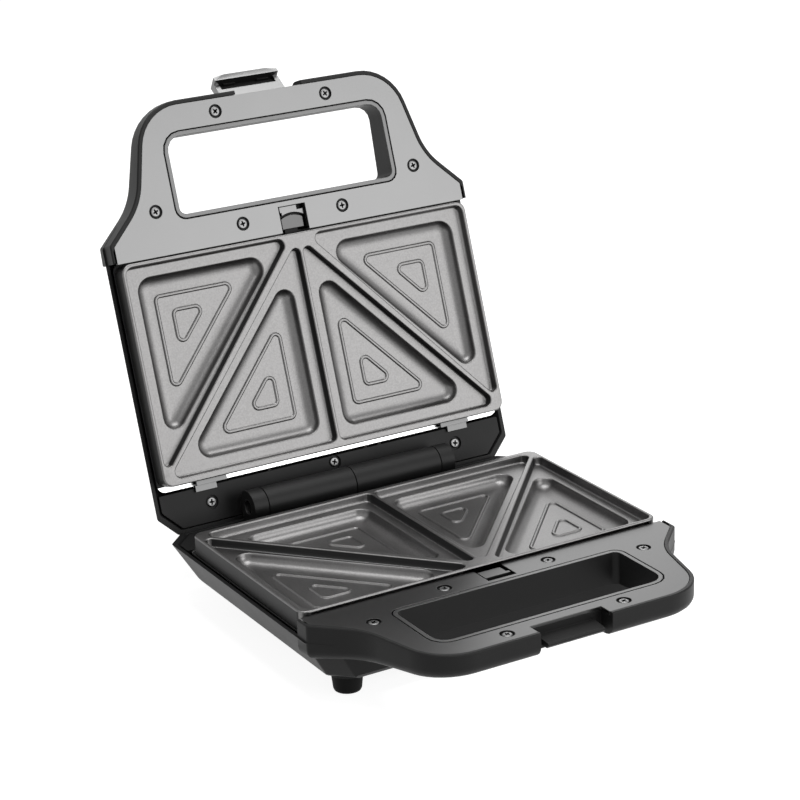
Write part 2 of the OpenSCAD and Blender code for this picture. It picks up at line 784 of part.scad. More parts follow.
lug_w = 14;
lug_x = 85;
lug_depth = 8.5;
lug_t = 2;

// Lugs on the plate's hinge edge, held by the clips, and the pocket that the button's tongue enters.
module plate_lugs() {
    both_sides() at_depth(lug_x - lug_w / 2, half_d - bite, lug_depth + lug_t) cube([lug_w, bite + 1.9, lug_t]);
}

tongue_depth = button_floor - 3.2;
tongue_t = 1.8;

module plate() {
    difference() {
        union() {
            slab(plate_corners, plate_top, plate_skirt);
            for (p = pockets) both_sides()
                slab(inset(p, pocket_slope - plate_wall), plate_skirt - bite, floor_z + plate_wall);
            plate_lugs();
        }
        for (c = cells) both_sides() cell_cut(c);
        for (p = pockets) both_sides() pocket_cut(p);
        // Hollow underside: a skirt round the edge, and the pockets' own undersides left standing.
        difference() {
            slab(inset(plate_corners, rim_w + 0.6), land_z + plate_wall, plate_skirt + bite);
            for (p = pockets) both_sides() slab(inset(p, -plate_wall), 0, plate_skirt + 2 * bite);
        }
        at_depth(-tongue_w / 2 - 1, -half_d - bite, tongue_depth + tongue_t + 0.5)
            cube([tongue_w + 2, bite + rim_w + 1, tongue_t + 1]);
    }
    for (p = pockets) both_sides() ridges(p);
}

module lower_plate() {
    color("#8f8b89") as_base() plate();
}

module upper_plate() {
    color("#a7a4a3") as_lid() plate();
}

// ---- reflector tray, heating element and clips ---------------------------------------------

tray_top = plate_skirt + 0.2;
tray_corners = box_corners(half_w + 0.6, cover_rear_y + 0.9, half_d + 3.2, 5, 5);
basin_x = tub_x - draw_in(tray_depth + tray_t, side_taper) - shell_wall - tray_t - 1.3;
basin_corners = box_corners(basin_x, -half_d + 6, half_d - 6, 8, 8);
terminal_x = 12;
terminal_y = 46;
element_depth = floor_z + plate_wall + element_gap + element_d / 2;

module tray() {
    difference() {
        union() {
            slab(tray_corners, tray_top, tray_top + tray_t);
            slab(inset(basin_corners, -tray_t), tray_top, tray_depth + tray_t);
        }
        slab(basin_corners, tray_top - bite, tray_depth);
        both_sides() at_depth(terminal_x, terminal_y, tray_depth + 2 * bite) cylinder(d = 9, h = 4 * bite);
        each_tray_post() at_depth(0, 0, tray_depth + 2 * bite) cylinder(d = screw_d + 0.4, h = 4 * bite);
    }
}

module lower_reflector_tray() {
    color("#dcdddd") as_base() tray();
}

module upper_reflector_tray() {
    color("#dcdddd") as_lid() tray();
}

module tray_screws() {
    each_tray_post() at_depth(0, 0, tray_depth) screw(screw_head_d, 2, screw_d, 8);
}

module lower_tray_screws() {
    color("#b9babb") as_base() tray_screws();
}

module upper_tray_screws() {
    color("#b9babb") as_lid() tray_screws();
}

// A rod of round section along a path of square corners, with a round bend at each.
module rod(points, d, bend_r) {
    last = len(points) - 1;
    for (i = [0:last - 1]) {
        v = unit(points[i + 1] - points[i]);
        start = points[i] + v * (i == 0 ? 0 : bend_r);
        l = norm(points[i + 1] - points[i]) - (i == 0 ? 0 : bend_r) - (i == last - 1 ? 0 : bend_r);
        translate(start) rotate([0, acos(v[2]), atan2(v[1], v[0])]) cylinder(d = d, h = l, $fn = 24);
    }
    for (i = [1:last - 1]) {
        a = unit(points[i] - points[i - 1]);
        b = unit(points[i + 1] - points[i]);
        n = cross(a, b);
        m = -b;
        // Columns m, a and n turn a quarter ring, drawn about the origin, into the corner.
        multmatrix([
            [m[0], a[0], n[0], (points[i] + (b - a) * bend_r)[0]],
            [m[1], a[1], n[1], (points[i] + (b - a) * bend_r)[1]],
            [m[2], a[2], n[2], (points[i] + (b - a) * bend_r)[2]],
            [0, 0, 0, 1]
        ]) rotate_extrude(angle = 90, $fn = 48) translate([bend_r, 0]) circle(d = d, $fn = 24);
    }
}

element_x = 94;
element_front_y = -48;
element_fold_x = 30;
element_fold_y = 6;

module heating_element() {
    z = -element_depth;
    x = element_x;
    y0 = element_front_y;
    y1 = terminal_y;
    f = element_fold_x;
    rod([
        [-terminal_x, y1, z], [-x, y1, z], [-x, y0, z], [-f, y0, z], [-f, element_fold_y, z],
        [f, element_fold_y, z], [f, y0, z], [x, y0, z], [x, y1, z], [terminal_x, y1, z]
    ], element_d, element_bend_r);
    // Ceramic ends that pass down through the tray, with their flat tags.
    both_sides() {
        at_depth(terminal_x, y1, tray_depth + 5) cylinder(d = 7.6, h = tray_depth + 5 - element_depth + element_d / 2);
        at_depth(terminal_x - 0.4, y1 - 3, tray_depth + 11) cube([0.8, 6, 7]);
    }
}

module lower_heating_element() {
    color("#6d6a66") as_base() heating_element();
}

module upper_heating_element() {
    color("#6d6a66") as_lid() heating_element();
}

saddle_spots = [[element_x, 0, 0], [62, element_front_y, 90], [55, terminal_y, 90]];

// Bent steel saddles that carry the element above the tray's floor.
module element_saddles() {
    top = element_depth - 0.4;
    for (s = saddle_spots) both_sides() translate([s[0], s[1], 0]) rotate([0, 0, s[2]]) difference() {
        at_depth(-6, -4, tray_depth) cube([12, 8, tray_depth - top]);
        at_depth(0, -5, element_depth) rotate([-90, 0, 0]) cylinder(d = element_d + 0.1, h = 10, $fn = 24);
        at_depth(-4.4, -5, tray_depth + bite) cube([8.8, 10, 2.4 + bite]);
    }
}

module lower_element_saddles() {
    color("#a9aaac") as_base() element_saddles();
}

module upper_element_saddles() {
    color("#a9aaac") as_lid() element_saddles();
}

// Spring-steel clips on the tray's hinge edge that the plate's lugs slip under.
module plate_clips() {
    clip_t = 0.9;
    clip_w = 20;
    foot_y = half_d + 3.1;
    lip = lug_depth - 0.3;
    both_sides() {
        at_depth(lug_x - clip_w / 2, foot_y - clip_t, tray_top) cube([clip_w, clip_t, tray_top - lip + clip_t]);
        at_depth(lug_x - clip_w / 2, foot_y - 2.8, lip) cube([clip_w, 2.8, clip_t]);
        at_depth(lug_x - clip_w / 2 + 6, foot_y - bite / 2, rim_depth - 0.9) cube([clip_w - 6, 4.4, clip_t - 0.3]);
    }
}

module lower_plate_clips() {
    color("#cfd0d1") as_base() plate_clips();
}

module upper_plate_clips() {
    color("#cfd0d1") as_lid() plate_clips();
}

// ---- release buttons -----------------------------------------------------------------------

spring_d = 4.4;
spring_wire = 0.6;
spring_bore_l = 8;
spring_y1 = button_front_y + spring_bore_l;
spring_y0 = grip_rear_y + shell_wall + 0.2;
spring_depth = button_top + button_h / 2;

// A sliding block with a thumb dish, and a tongue that holds the plate's edge.
module release_button() {
    l = button_rear_y - button_front_y;
    difference() {
        union() {
            at_depth(-button_w / 2, button_front_y, button_top + button_h) cube([button_w, l, button_h]);
            at_depth(-tongue_w / 2, button_rear_y - bite, tongue_depth + tongue_t)
                cube([tongue_w, bite + partition_t + 2.9, tongue_t]);
        }
        intersection() {
            at_depth(0, button_rear_y + 1, button_top + 2) cylinder(d = button_w + 3, h = 4);
            at_depth(-button_w / 2 + 0.8, button_front_y + 2, button_top + 3) cube([button_w - 1.6, l, 4]);
        }
        at_depth(button_w / 2 - 5.4, button_front_y - bite, button_top + 3) cube([7, 4.6 + bite, 3 + bite]);
        at_depth(0, spring_y1, spring_depth) rotate([90, 0, 0]) cylinder(d = spring_d + 0.8, h = spring_bore_l + bite);
    }
}

module lower_release_button() {
    color("#4a4a4d") as_base() release_button();
}

module upper_release_button() {
    color("#4a4a4d") as_lid() release_button();
}

// A helix of round wire, skinned over rings that step along the turns.
spring_turns = 7;
spring_sides = 6;
spring_steps = 12;

function spring_ring(t) =
    let (
        a = 360 * t,
        r = (spring_d - spring_wire) / 2,
        l = spring_y1 - spring_y0 - spring_wire - 0.4,
        out = [cos(a), 0, sin(a)],
        middle = out * r + [0, spring_y0 + spring_wire / 2 + 0.2 + l * t / spring_turns, 0]
    )
    [for (k = [0:spring_sides - 1]) let (f = 360 * k / spring_sides)
        middle + (out * cos(f) + [0, 1, 0] * sin(f)) * spring_wire / 2];

module button_spring() {
    at_depth(0, 0, spring_depth)
        loft([for (i = [0:spring_turns * spring_steps]) spring_ring(i / spring_steps)]);
}

module lower_button_spring() {
    color("#d0d0d0") as_base() button_spring();
}

module upper_button_spring() {
    color("#d0d0d0") as_lid() button_spring();
}

// ---- latch ---------------------------------------------------------------------------------
// The latch is drawn hooked, in the lid's half frame, where the base lies at positive z.

latch_inner_y = catch_front_y + 1.6;
latch_outer_y = latch_inner_y - latch_t;
groove_y = catch_front_y - 0.4;
groove_top = catch_depth - catch_h - 1;
hook_z = catch_depth + 1;
hook_tip_y = latch_y - 2;
hook_end = hook_z + 2.6;
hook_bow = 3;
hook_round = 1.2;
cheek_w = 3.2;

// At rest the latch's bowed end is the rearmost point. The rest pose stands with the middle of its
// bounding box over the origin.
tip_dy = latch_outer_y - latch_y;
tip_dz = hook_end + hook_bow - latch_z;
tip_y = latch_y + tip_dy * cos(latch_swing) - tip_dz * sin(latch_swing);
tip_z = latch_z + tip_dy * sin(latch_swing) + tip_dz * cos(latch_swing);
rest_rear_y = hinge_y + (tip_y - hinge_y) * cos(open_angle) - (tip_z + hinge_z) * sin(open_angle);
frame_y = (rest_rear_y + handle_front_y) / 2;

module latch_profile() {
    translate([latch_y, latch_z]) circle(d = latch_barrel_d, $fn = 48);
    polygon([
        [latch_y - 0.5, latch_z - 4.4], [latch_y - 5.5, latch_z - 2.6], [latch_outer_y + 1.5, latch_z + 1.5],
        [latch_outer_y + 0.4, latch_z + 5], [latch_outer_y, latch_z + 9], [latch_outer_y, hook_end + hook_bow],
        [hook_tip_y - hook_round, hook_end + hook_bow], [hook_tip_y, hook_end + hook_bow - hook_round],
        [hook_tip_y, hook_z], [latch_inner_y, hook_z], [latch_inner_y, latch_z + 4], [latch_y - 3, latch_z + 3.2]
    ]);
}

module hooked_latch() {
    difference() {
        intersection() {
            across(latch_w) latch_profile();
            translate([0, latch_y + 10, 0]) rotate([90, 0, 0]) linear_extrude(40) latch_elevation();
        }
        // Groove that takes the base's bar, between the two cheeks.
        at_depth(cheek_w - latch_w / 2, groove_y, -groove_top) cube([latch_w - 2 * cheek_w, 20, hook_z - groove_top]);
        translate([-latch_w, latch_y, latch_z]) rotate([0, 90, 0])
            cylinder(d = latch_pin_d + 2 * running_gap, h = 2 * latch_w);
    }
    // Two small pads in the groove, under the bar's front edge.
    both_sides() at_depth(7.5, groove_y - 0.5, -hook_z - 0.5) mirror([0, 0, 1]) cube([8, 2.3, 1.4]);
}

// Front view of the latch: straight sides and a bowed end.
module latch_elevation() {
    r = (pow(latch_w / 2, 2) + pow(hook_bow, 2)) / (2 * hook_bow);
    intersection() {
        translate([-latch_w / 2, latch_z - 10]) square([latch_w, 60]);
        translate([0, hook_end + hook_bow - r]) circle(r = r, $fn = 180);
    }
}

module swung() {
    translate([0, latch_y, latch_z]) rotate([latch_swing, 0, 0]) translate([0, -latch_y, -latch_z]) children();
}

module latch() {
    color("#c4c5c7") as_lid() swung() hooked_latch();
}

module latch_pin() {
    l = latch_slot_w + 5.6;
    color("#b8b9ba") as_lid() translate([-l / 2, latch_y, latch_z]) rotate([0, 90, 0]) cylinder(d = latch_pin_d, h = l);
}

// ---- hinge pin and the lead that runs inside it --------------------------------------------

hinge_tube_wall = 0.8;
lead_d = 6;

module hinge_tube() {
    color("#c0c1c2") as_base() translate([-barrel_l / 2 + 0.5, hinge_y, hinge_z]) rotate([0, 90, 0]) difference() {
        cylinder(d = hinge_pin_d, h = barrel_l - 1);
        translate([0, 0, -bite]) cylinder(d = hinge_pin_d - 2 * hinge_tube_wall, h = barrel_l + 2 * bite);
    }
}

module hinge_lead() {
    color("#e6e0d2") as_base() translate([-barrel_l / 2 + 2, hinge_y, hinge_z - (hinge_pin_d - lead_d) / 2 + hinge_tube_wall + 0.1])
        rotate([0, 90, 0]) cylinder(d = lead_d, h = barrel_l - 4);
}

// ---- electrical parts ----------------------------------------------------------------------

tray_under = tray_depth + tray_t;
tub_floor = tub_depth - shell_wall;
thermostat_y = -18;
fuse_x = 44;
block_x = gland_x + 20;
block_y = 62;
block_size = [30, 16, 10];

module thermostat() {
    color("#d9d4c6") as_base() {
        at_depth(0, thermostat_y, tray_under + 7) cylinder(d = 22, h = 7);
        at_depth(0, thermostat_y, tray_under + 9) cylinder(d = 12, h = 3);
        both_sides() at_depth(7, thermostat_y - 3, tray_under + 8.5) cube([6, 6, 0.8 + 1]);
    }
}

module thermal_fuse() {
    color("#e9e4d6") as_base() {
        at_depth(fuse_x - 12, 14, tray_under + 3) rotate([0, 90, 0]) cylinder(d = 5.6, h = 24);
        at_depth(fuse_x - 2, 10.6, tray_under + 3) cube([4, 6.8, 3]);
    }
}

module terminal_block() {
    color("#e8e6df") as_base() difference() {
        at_depth(block_x - block_size[0] / 2, block_y - block_size[1] / 2, tub_floor) cube(block_size);
        for (i = [-1:1]) at_depth(block_x + i * 9, block_y - 12, tub_floor - 3) rotate([-90, 0, 0]) cylinder(d = 3.2, h = 24);
        for (i = [-1:1]) at_depth(block_x + i * 9, block_y, tub_floor - 8) cylinder(d = 4, h = 10);
    }
}

wire_d = 2.6;
wire_bend = 4;
tag_side = terminal_x + 0.4;

// Insulated wires from the terminal block to the element's tags and the thermostat.
module base_wires() {
    z = -tub_floor + 3;
    color("#e7e1d0") as_base() {
        rod([[block_x + 9, block_y - 2, z], [block_x + 9, terminal_y, z], [-tag_side - 0.3, terminal_y, z]], wire_d, wire_bend);
        rod([[block_x, block_y - 2, z], [block_x, thermostat_y, z], [-13.3, thermostat_y, z]], wire_d, wire_bend);
        rod([[block_x - 9, block_y - 2, z], [block_x - 9, block_y - 28, z], [tag_side + 12, block_y - 28, z],
            [tag_side + 12, terminal_y, z], [tag_side + 0.3, terminal_y, z]], wire_d, wire_bend);
    }
}

// Wires on the lid's floor, from the hinge to the element's tags and past the two lamps.
module lid_wires() {
    z = -tub_floor + wire_d / 2 + 0.1;
    lamp_y = lens_y + lens_d / 2 + 1.5 + wire_d / 2 + 0.3;
    color("#e7e1d0") as_lid() {
        both_sides() rod([[34, half_d + 9, z], [34, terminal_y, z], [tag_side + 0.3, terminal_y, z]], wire_d, wire_bend);
        rod([[44, half_d + 9, z], [44, lamp_y, z], [-lens_x - 5, lamp_y, z]], wire_d, wire_bend);
    }
}

// Gland that grips the supply cord in the base's rear wall.
module cord_gland() {
    color("#1b1b1c") as_base() at_gland() difference() {
        rotate_extrude($fn = 64) polygon([
            [0, -gland_l], [gland_collar_r, -gland_l], [gland_collar_r, -3.2], [gland_d / 2, -3.2], [gland_d / 2, 0.3],
            [gland_d / 2 + 2, 0.3], [gland_d / 2 + 2, 1.6], [gland_d / 2 + 1, 2.6], [0, 2.6]
        ]);
        translate([0, 0, -gland_l - bite]) cylinder(d = gland_bore_d, h = gland_l + 2.6 + 2 * bite);
    }
}

// Lenses of the two indicator lamps in the lid's outer face, and the lamps behind them.
module lens() {
    at_depth(0, 0, tub_depth + 0.8) cylinder(d = lens_d, h = shell_wall + 0.8);
    at_depth(0, 0, tub_floor) cylinder(d = lens_d + 3, h = 1);
}

module lamp() {
    at_depth(0, 0, tub_floor - 1.3) cylinder(d = 4.6, h = 7);
    at_depth(0, 0, tub_floor - 7.5) cylinder(d = 6, h = 2.2);
}

module power_lens() {
    color("#b0201c") as_lid() translate([-lens_x, lens_y, 0]) lens();
}

module ready_lens() {
    color("#2c8a3a") as_lid() translate([lens_x, lens_y, 0]) lens();
}

module power_lamp() {
    color("#f0b9a0") as_lid() translate([-lens_x, lens_y, 0]) lamp();
}

module ready_lamp() {
    color("#bfe4c2") as_lid() translate([lens_x, lens_y, 0]) lamp();
}

// ---- feet ----------------------------------------------------------------------------------

foot_floor = tub_depth + foot_h;
foot_recess = 6.5;

module foot() {
    h = foot_floor - foot_top;
    at_depth(0, 0, foot_floor) difference() {
        rotate_extrude($fn = 64) polygon([
            [0, 0], [foot_d / 2 - 2.6, 0], [foot_d / 2 - 1.5, 0.5], [foot_d / 2 - 1, 1.6], [foot_d / 2, h], [0, h]
        ]);
        translate([0, 0, -bite]) cylinder(d = 8.6, h = foot_recess + bite);
        cylinder(d = foot_hole_d, h = h + bite);
    }
}

module one_foot(i) {
    f = foot_spots[i];
    color("#141415") as_base() translate([f[1], f[2], 0]) foot();
}

module front_left_foot() one_foot(0);
module front_right_foot() one_foot(1);
module rear_left_foot() one_foot(2);
module rear_right_foot() one_foot(3);

module foot_screws() {
    color("#b9babb") as_base() each_foot() at_depth(0, 0, foot_floor - foot_recess) mirror([0, 0, 1])
        screw(7.6, 2, foot_screw_d, foot_floor - foot_recess - tub_depth + 6.5);
}

base_shell();
base_handle_cover();
base_rear_cover();
base_cover_screws();
lower_plate();
lower_plate_clips();
lower_reflector_tray();
lower_tray_screws();
lower_heating_element();
lower_element_saddles();
lower_release_button();
lower_button_spring();
thermostat();
thermal_fuse();
terminal_block();
base_wires();
cord_gland();
front_left_foot();
front_right_foot();
rear_left_foot();
rear_right_foot();
foot_screws();
hinge_tube();
hinge_lead();
lid_shell();
lid_handle_cover();
lid_rear_cover();
lid_cover_screws();
upper_plate();
upper_plate_clips();
upper_reflector_tray();
upper_tray_screws();
upper_heating_element();
upper_element_saddles();
upper_release_button();
upper_button_spring();
lid_wires();
power_lens();
ready_lens();
power_lamp();
ready_lamp();
latch();
latch_pin();
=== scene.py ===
import bmesh
import bpy
import json
import math
import numpy as np
from mathutils import Matrix, Vector, geometry


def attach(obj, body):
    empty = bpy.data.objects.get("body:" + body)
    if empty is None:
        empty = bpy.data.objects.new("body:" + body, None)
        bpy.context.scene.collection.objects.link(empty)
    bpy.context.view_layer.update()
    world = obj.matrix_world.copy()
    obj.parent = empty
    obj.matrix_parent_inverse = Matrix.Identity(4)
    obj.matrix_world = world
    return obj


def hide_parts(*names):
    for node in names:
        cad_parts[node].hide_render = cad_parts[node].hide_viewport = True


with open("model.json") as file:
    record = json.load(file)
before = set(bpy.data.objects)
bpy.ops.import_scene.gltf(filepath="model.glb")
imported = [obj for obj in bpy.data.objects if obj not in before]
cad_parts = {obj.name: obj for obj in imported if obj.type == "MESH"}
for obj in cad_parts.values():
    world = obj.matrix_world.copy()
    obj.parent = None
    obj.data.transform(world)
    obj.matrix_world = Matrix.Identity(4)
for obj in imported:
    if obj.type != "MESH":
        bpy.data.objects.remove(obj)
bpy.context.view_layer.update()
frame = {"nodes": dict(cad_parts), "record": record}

# ---- Camera ----
# A long lens a metre and a half away, standing in front of the toaster's left corner and looking down
# about twenty degrees, with a slight roll. Its angles are in radians and its lengths in metres.
scene = bpy.context.scene
azimuth, elevation, roll, distance = -0.5223858, 0.3481456, -0.0326526, 1.4662493
focal_px, photo_px = 2583.2052, 800
target = Vector((-0.0136545, -0.025501, 0.1303967))
back = Vector((math.sin(azimuth) * math.cos(elevation),
               -math.cos(azimuth) * math.cos(elevation),
               math.sin(elevation)))
level = Vector((math.cos(azimuth), math.sin(azimuth), 0))
upright = back.cross(level)
right = math.cos(roll) * level + math.sin(roll) * upright
upward = -math.sin(roll) * level + math.cos(roll) * upright
lens = bpy.data.cameras.new("camera")
lens.sensor_width = 36
lens.lens = focal_px / photo_px * lens.sensor_width
lens.clip_start = 0.05
camera = bpy.data.objects.new("camera", lens)
camera.matrix_world = Matrix((right, upward, back)).transposed().to_4x4()
camera.location = target + back * distance
scene.collection.objects.link(camera)
scene.camera = camera

# ---- Base casing ----
# The lower half of the casing is one moulding of black plastic with a fine spark-eroded grain: a tub with
# leaning sides that runs into the loop of the handle. It carries two hinge knuckles and the latch's bar.
body_of_node = {n: b for b, members in frame["record"]["behaviour"]["bodies"].items() for n in members}
merge_distance = 2e-6


def dressed(node, material, angle=30):
    """A show copy of a solid of the frame. Its loose triangles are merged into one closed skin. Faces that
    meet at less than the angle in degrees are shaded as one curved surface; a sharper edge stays sharp."""
    mesh = frame["nodes"][node].data.copy()
    mesh.name = "show_" + node
    merged = bmesh.new()
    merged.from_mesh(mesh)
    bmesh.ops.remove_doubles(merged, verts=merged.verts, dist=merge_distance)
    merged.to_mesh(mesh)
    merged.free()
    for name in [a.name for a in mesh.attributes if a.name in ("custom_normal", "sharp_edge", "sharp_face")]:
        mesh.attributes.remove(mesh.attributes[name])
    mesh.shade_smooth()
    mesh.set_sharp_from_angle(angle=math.radians(angle))
    piece = bpy.data.objects.new("show_" + node, mesh)
    scene.collection.objects.link(piece)
    even = piece.modifiers.new("even_shading", "WEIGHTED_NORMAL")
    even.keep_sharp = True
    mesh.materials.clear()
    mesh.materials.append(material)
    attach(piece, body_of_node[node])
    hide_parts(node)
    return piece


def finish(name, shade, metal=0.0, rough=0.5, spread=0.06, grain=0.0, pitch=0.0006, mottle=0.04,
           round_edge=0.0003, tint=(1, 1, 1), coat=0.0, specular=0.5, speckle=0.0):
    """A surface finish with an even base shade. Broad soft noise varies the colour by the mottle share and
    the roughness by the spread; fine noise with cells of the pitch in metres raises the grain in metres.
    Speckle adds that share of the fine noise to the colour's. Edges read as rounded by round_edge metres."""
    material = bpy.data.materials.new(name)
    material.use_nodes = True
    nodes, link = material.node_tree.nodes, material.node_tree.links.new
    nodes.clear()
    out = nodes.new("ShaderNodeOutputMaterial")
    shader = nodes.new("ShaderNodeBsdfPrincipled")
    link(shader.outputs["BSDF"], out.inputs["Surface"])
    where = nodes.new("ShaderNodeTexCoord")
    cloud = nodes.new("ShaderNodeTexNoise")
    cloud.inputs["Scale"].default_value = 38
    cloud.inputs["Detail"].default_value = 4
    link(where.outputs["Object"], cloud.inputs["Vector"])
    fine = nodes.new("ShaderNodeTexNoise")
    fine.inputs["Scale"].default_value = 0.5 / pitch
    fine.inputs["Detail"].default_value = 2
    link(where.outputs["Object"], fine.inputs["Vector"])
    ramp = nodes.new("ShaderNodeValToRGB")
    low, high = ramp.color_ramp.elements
    low.position, high.position = 0.3, 0.7
    low.color = [shade * c * (1 - mottle) for c in tint] + [1]
    high.color = [shade * c * (1 + mottle) for c in tint] + [1]
    if speckle:
        both = nodes.new("ShaderNodeMath")
        both.operation = "MULTIPLY_ADD"
        both.inputs[1].default_value = speckle
        link(fine.outputs["Fac"], both.inputs[0])
        link(cloud.outputs["Fac"], both.inputs[2])
        middle = nodes.new("ShaderNodeMath")
        middle.operation = "SUBTRACT"
        middle.inputs[1].default_value = speckle / 2
        link(both.outputs[0], middle.inputs[0])
        link(middle.outputs[0], ramp.inputs["Fac"])
    else:
        link(cloud.outputs["Fac"], ramp.inputs["Fac"])
    link(ramp.outputs["Color"], shader.inputs["Base Color"])
    wear = nodes.new("ShaderNodeMapRange")
    wear.inputs["To Min"].default_value = rough - spread
    wear.inputs["To Max"].default_value = rough + spread
    link(cloud.outputs["Fac"], wear.inputs["Value"])
    link(wear.outputs["Result"], shader.inputs["Roughness"])
    shader.inputs["Metallic"].default_value = metal
    shader.inputs["Specular IOR Level"].default_value = specular
    shader.inputs["Coat Weight"].default_value = coat
    shader.inputs["Coat Roughness"].default_value = 0.2
    soft = nodes.new("ShaderNodeBevel")
    soft.samples = 6
    soft.inputs["Radius"].default_value = round_edge
    rise = nodes.new("ShaderNodeBump")
    rise.inputs["Strength"].default_value = 1
    rise.inputs["Distance"].default_value = grain
    link(fine.outputs["Fac"], rise.inputs["Height"])
    link(soft.outputs["Normal"], rise.inputs["Normal"])
    link(rise.outputs["Normal"], shader.inputs["Normal"])
    return material


black_plastic = finish("black_grained_plastic", 0.009, rough=0.46, grain=0.00003, pitch=0.0007, mottle=0.1,
                       specular=0.16)
base_shell = dressed("base_shell", black_plastic)

# ---- Handle covers ----
# Each half's handle is closed by a flat plate, painted in satin grey metallic and held by six screws in round
# wells. The lid's is light silver. The base's is the same paint made darker as painted shade, and it mirrors
# what stands over it.
silver_paint = finish("lid_silver_paint", 0.143, metal=1.0, rough=0.34, grain=0.000003, pitch=0.0003,
                      mottle=0.02, spread=0.01)
# The base's cover paint is the lid's paint made darker: painted shade.
base_cover_painted_shade = finish("base_cover_paint_painted_shade", 0.072, metal=1.0, rough=0.28, mottle=0.02, spread=0.01,
                        round_edge=0.0005)

# Half-frame millimetres serve both halves: y is 0 at the plate's middle and grows towards the hinge, and z
# is 0 at the joint between the halves and negative inside the half. The lid's are those of the base's
# mirror image.
plate_middle, joint_height = -25.501, 50
hinge_y, hinge_z = 88.5, -2.1
lid_opening = math.radians(108.8)
handle_screws = [(37.6, -146.8), (88.5, -94.0), (34.2, -77.8)]
well_reach, well_top = 4.4, -2.25

# The cover's rim round the hand opening, clear of the wells, and the shares by which it widens about its
# middle. Then the cover's edge beside the plate, and its shift towards the plate.
rim_x, rim_front, rim_rear, rim_screw_gap = 77.5, -140.5, -86.0, 4.6
opening_middle, opening_wider, opening_deeper = -112.8, 1.0065, 1.02
plate_side, plate_side_shift = -71.5, 3.2


def turned(u, v, angle):
    """Plane coordinates turned anticlockwise by the angle: u cos - v sin, and u sin + v cos."""
    return u * np.cos(angle) - v * np.sin(angle), u * np.sin(angle) + v * np.cos(angle)


def at_base(p):
    """Half-frame millimetres to the base's place in metres: a shift in y and a rise to the joint."""
    return np.column_stack([p[:, 0], p[:, 1] + plate_middle, p[:, 2] + joint_height]) / 1000


def at_lid(p):
    """Half-frame millimetres to the lid's place in metres: mirrored at the joint, then turned open about the
    hinge, and shifted as the base is."""
    y, z = turned(p[:, 1] - hinge_y, -p[:, 2] - hinge_z, -lid_opening)
    return np.column_stack([p[:, 0], y + hinge_y + plate_middle, z + hinge_z + joint_height]) / 1000


def half_frame(points, place):
    """Points of the world in half-frame millimetres: the way back from at_base or at_lid."""
    c = points * 1000
    y, z = c[:, 1] - plate_middle, c[:, 2] - joint_height
    if place is at_lid:
        y, z = turned(y - hinge_y, z - hinge_z, lid_opening)
        y, z = y + hinge_y, -z - hinge_z
    return np.column_stack([c[:, 0], y, z])


def face_centres(piece, place):
    """The middles of a piece's faces in half-frame millimetres."""
    c = np.empty(len(piece.data.polygons) * 3)
    piece.data.polygons.foreach_get("center", c)
    return half_frame(c.reshape(-1, 3), place)


def further_finish(piece, material, chosen):
    """Gives the chosen faces of a piece one more finish. The other faces keep theirs."""
    piece.data.materials.append(material)
    index = np.empty(len(piece.data.polygons), np.int32)
    piece.data.polygons.foreach_get("material_index", index)
    index[chosen] = len(piece.data.materials) - 1
    piece.data.polygons.foreach_set("material_index", index)


def near_screws(c, reach):
    """Points nearer than the reach to the axis of a handle screw, on the left or the right."""
    return np.any([np.hypot(np.abs(c[:, 0]) - x, c[:, 1] - y) < reach for x, y in handle_screws], 0)


def handle_cover(node, paint, place):
    """A handle cover whose plate-side edge comes nearer to the plate, and whose hand opening is half a
    millimetre wider all round, so that a dark line parts it from the collar. The screws' wells get painted
    shade in the black plastic's finish: they are the faces close to a screw and below the cover's top."""
    cover = dressed(node, paint)
    v = np.empty(len(cover.data.vertices) * 3)
    cover.data.vertices.foreach_get("co", v)
    h = half_frame(v.reshape(-1, 3), place)
    rim = (np.abs(h[:, 0]) < rim_x) & (h[:, 1] > rim_front) & (h[:, 1] < rim_rear)
    rim &= ~near_screws(h, rim_screw_gap)
    h[rim, 0] *= opening_wider
    h[rim, 1] = opening_middle + (h[rim, 1] - opening_middle) * opening_deeper
    h[h[:, 1] > plate_side, 1] += plate_side_shift
    cover.data.vertices.foreach_set("co", place(h).ravel())
    cover.data.update()
    c = face_centres(cover, place)
    # Painted shade: the wells round the screws take the black plastic's finish.
    further_finish(cover, black_plastic, near_screws(c, well_reach) & (c[:, 2] < well_top))


handle_cover("base_handle_cover", base_cover_painted_shade, at_base)
handle_cover("lid_handle_cover", silver_paint, at_lid)

# ---- Rear covers ----
# A strip of the casing's black plastic closes each half behind the plate, in front of the hinge. It is held
# by three screws.
for node in ("base_rear_cover", "lid_rear_cover"):
    dressed(node, black_plastic)

# ---- Lid casing and collars ----
# The lid's casing is a black moulding like the base's, with the other knuckles and a slot for the latch. On
# both casings a collar stands up round the hand opening, level with the cover and painted a shade apart
# from it.
collar_paint = finish("collar_dark_silver", 0.095, metal=1.0, rough=0.34, mottle=0.02, spread=0.01,
                      round_edge=0.0006)
collar_x, collar_front, collar_rear, collar_depth = 75.6, -138.6, -87.1, 2.2


def at_depth(c, depth):
    """Faces whose middles lie at a depth below the joint, within 0.05 mm."""
    return np.abs(c[:, 2] + depth) < 0.05


def paint_collar(casing, place):
    """Paints the level faces that lie inside the collar's outline in plan."""
    c = face_centres(casing, place)
    inside = (np.abs(c[:, 0]) < collar_x) & (c[:, 1] > collar_front) & (c[:, 1] < collar_rear)
    further_finish(casing, collar_paint, inside & at_depth(c, collar_depth))


lid_shell = dressed("lid_shell", black_plastic)
paint_collar(base_shell, at_base)
paint_collar(lid_shell, at_lid)

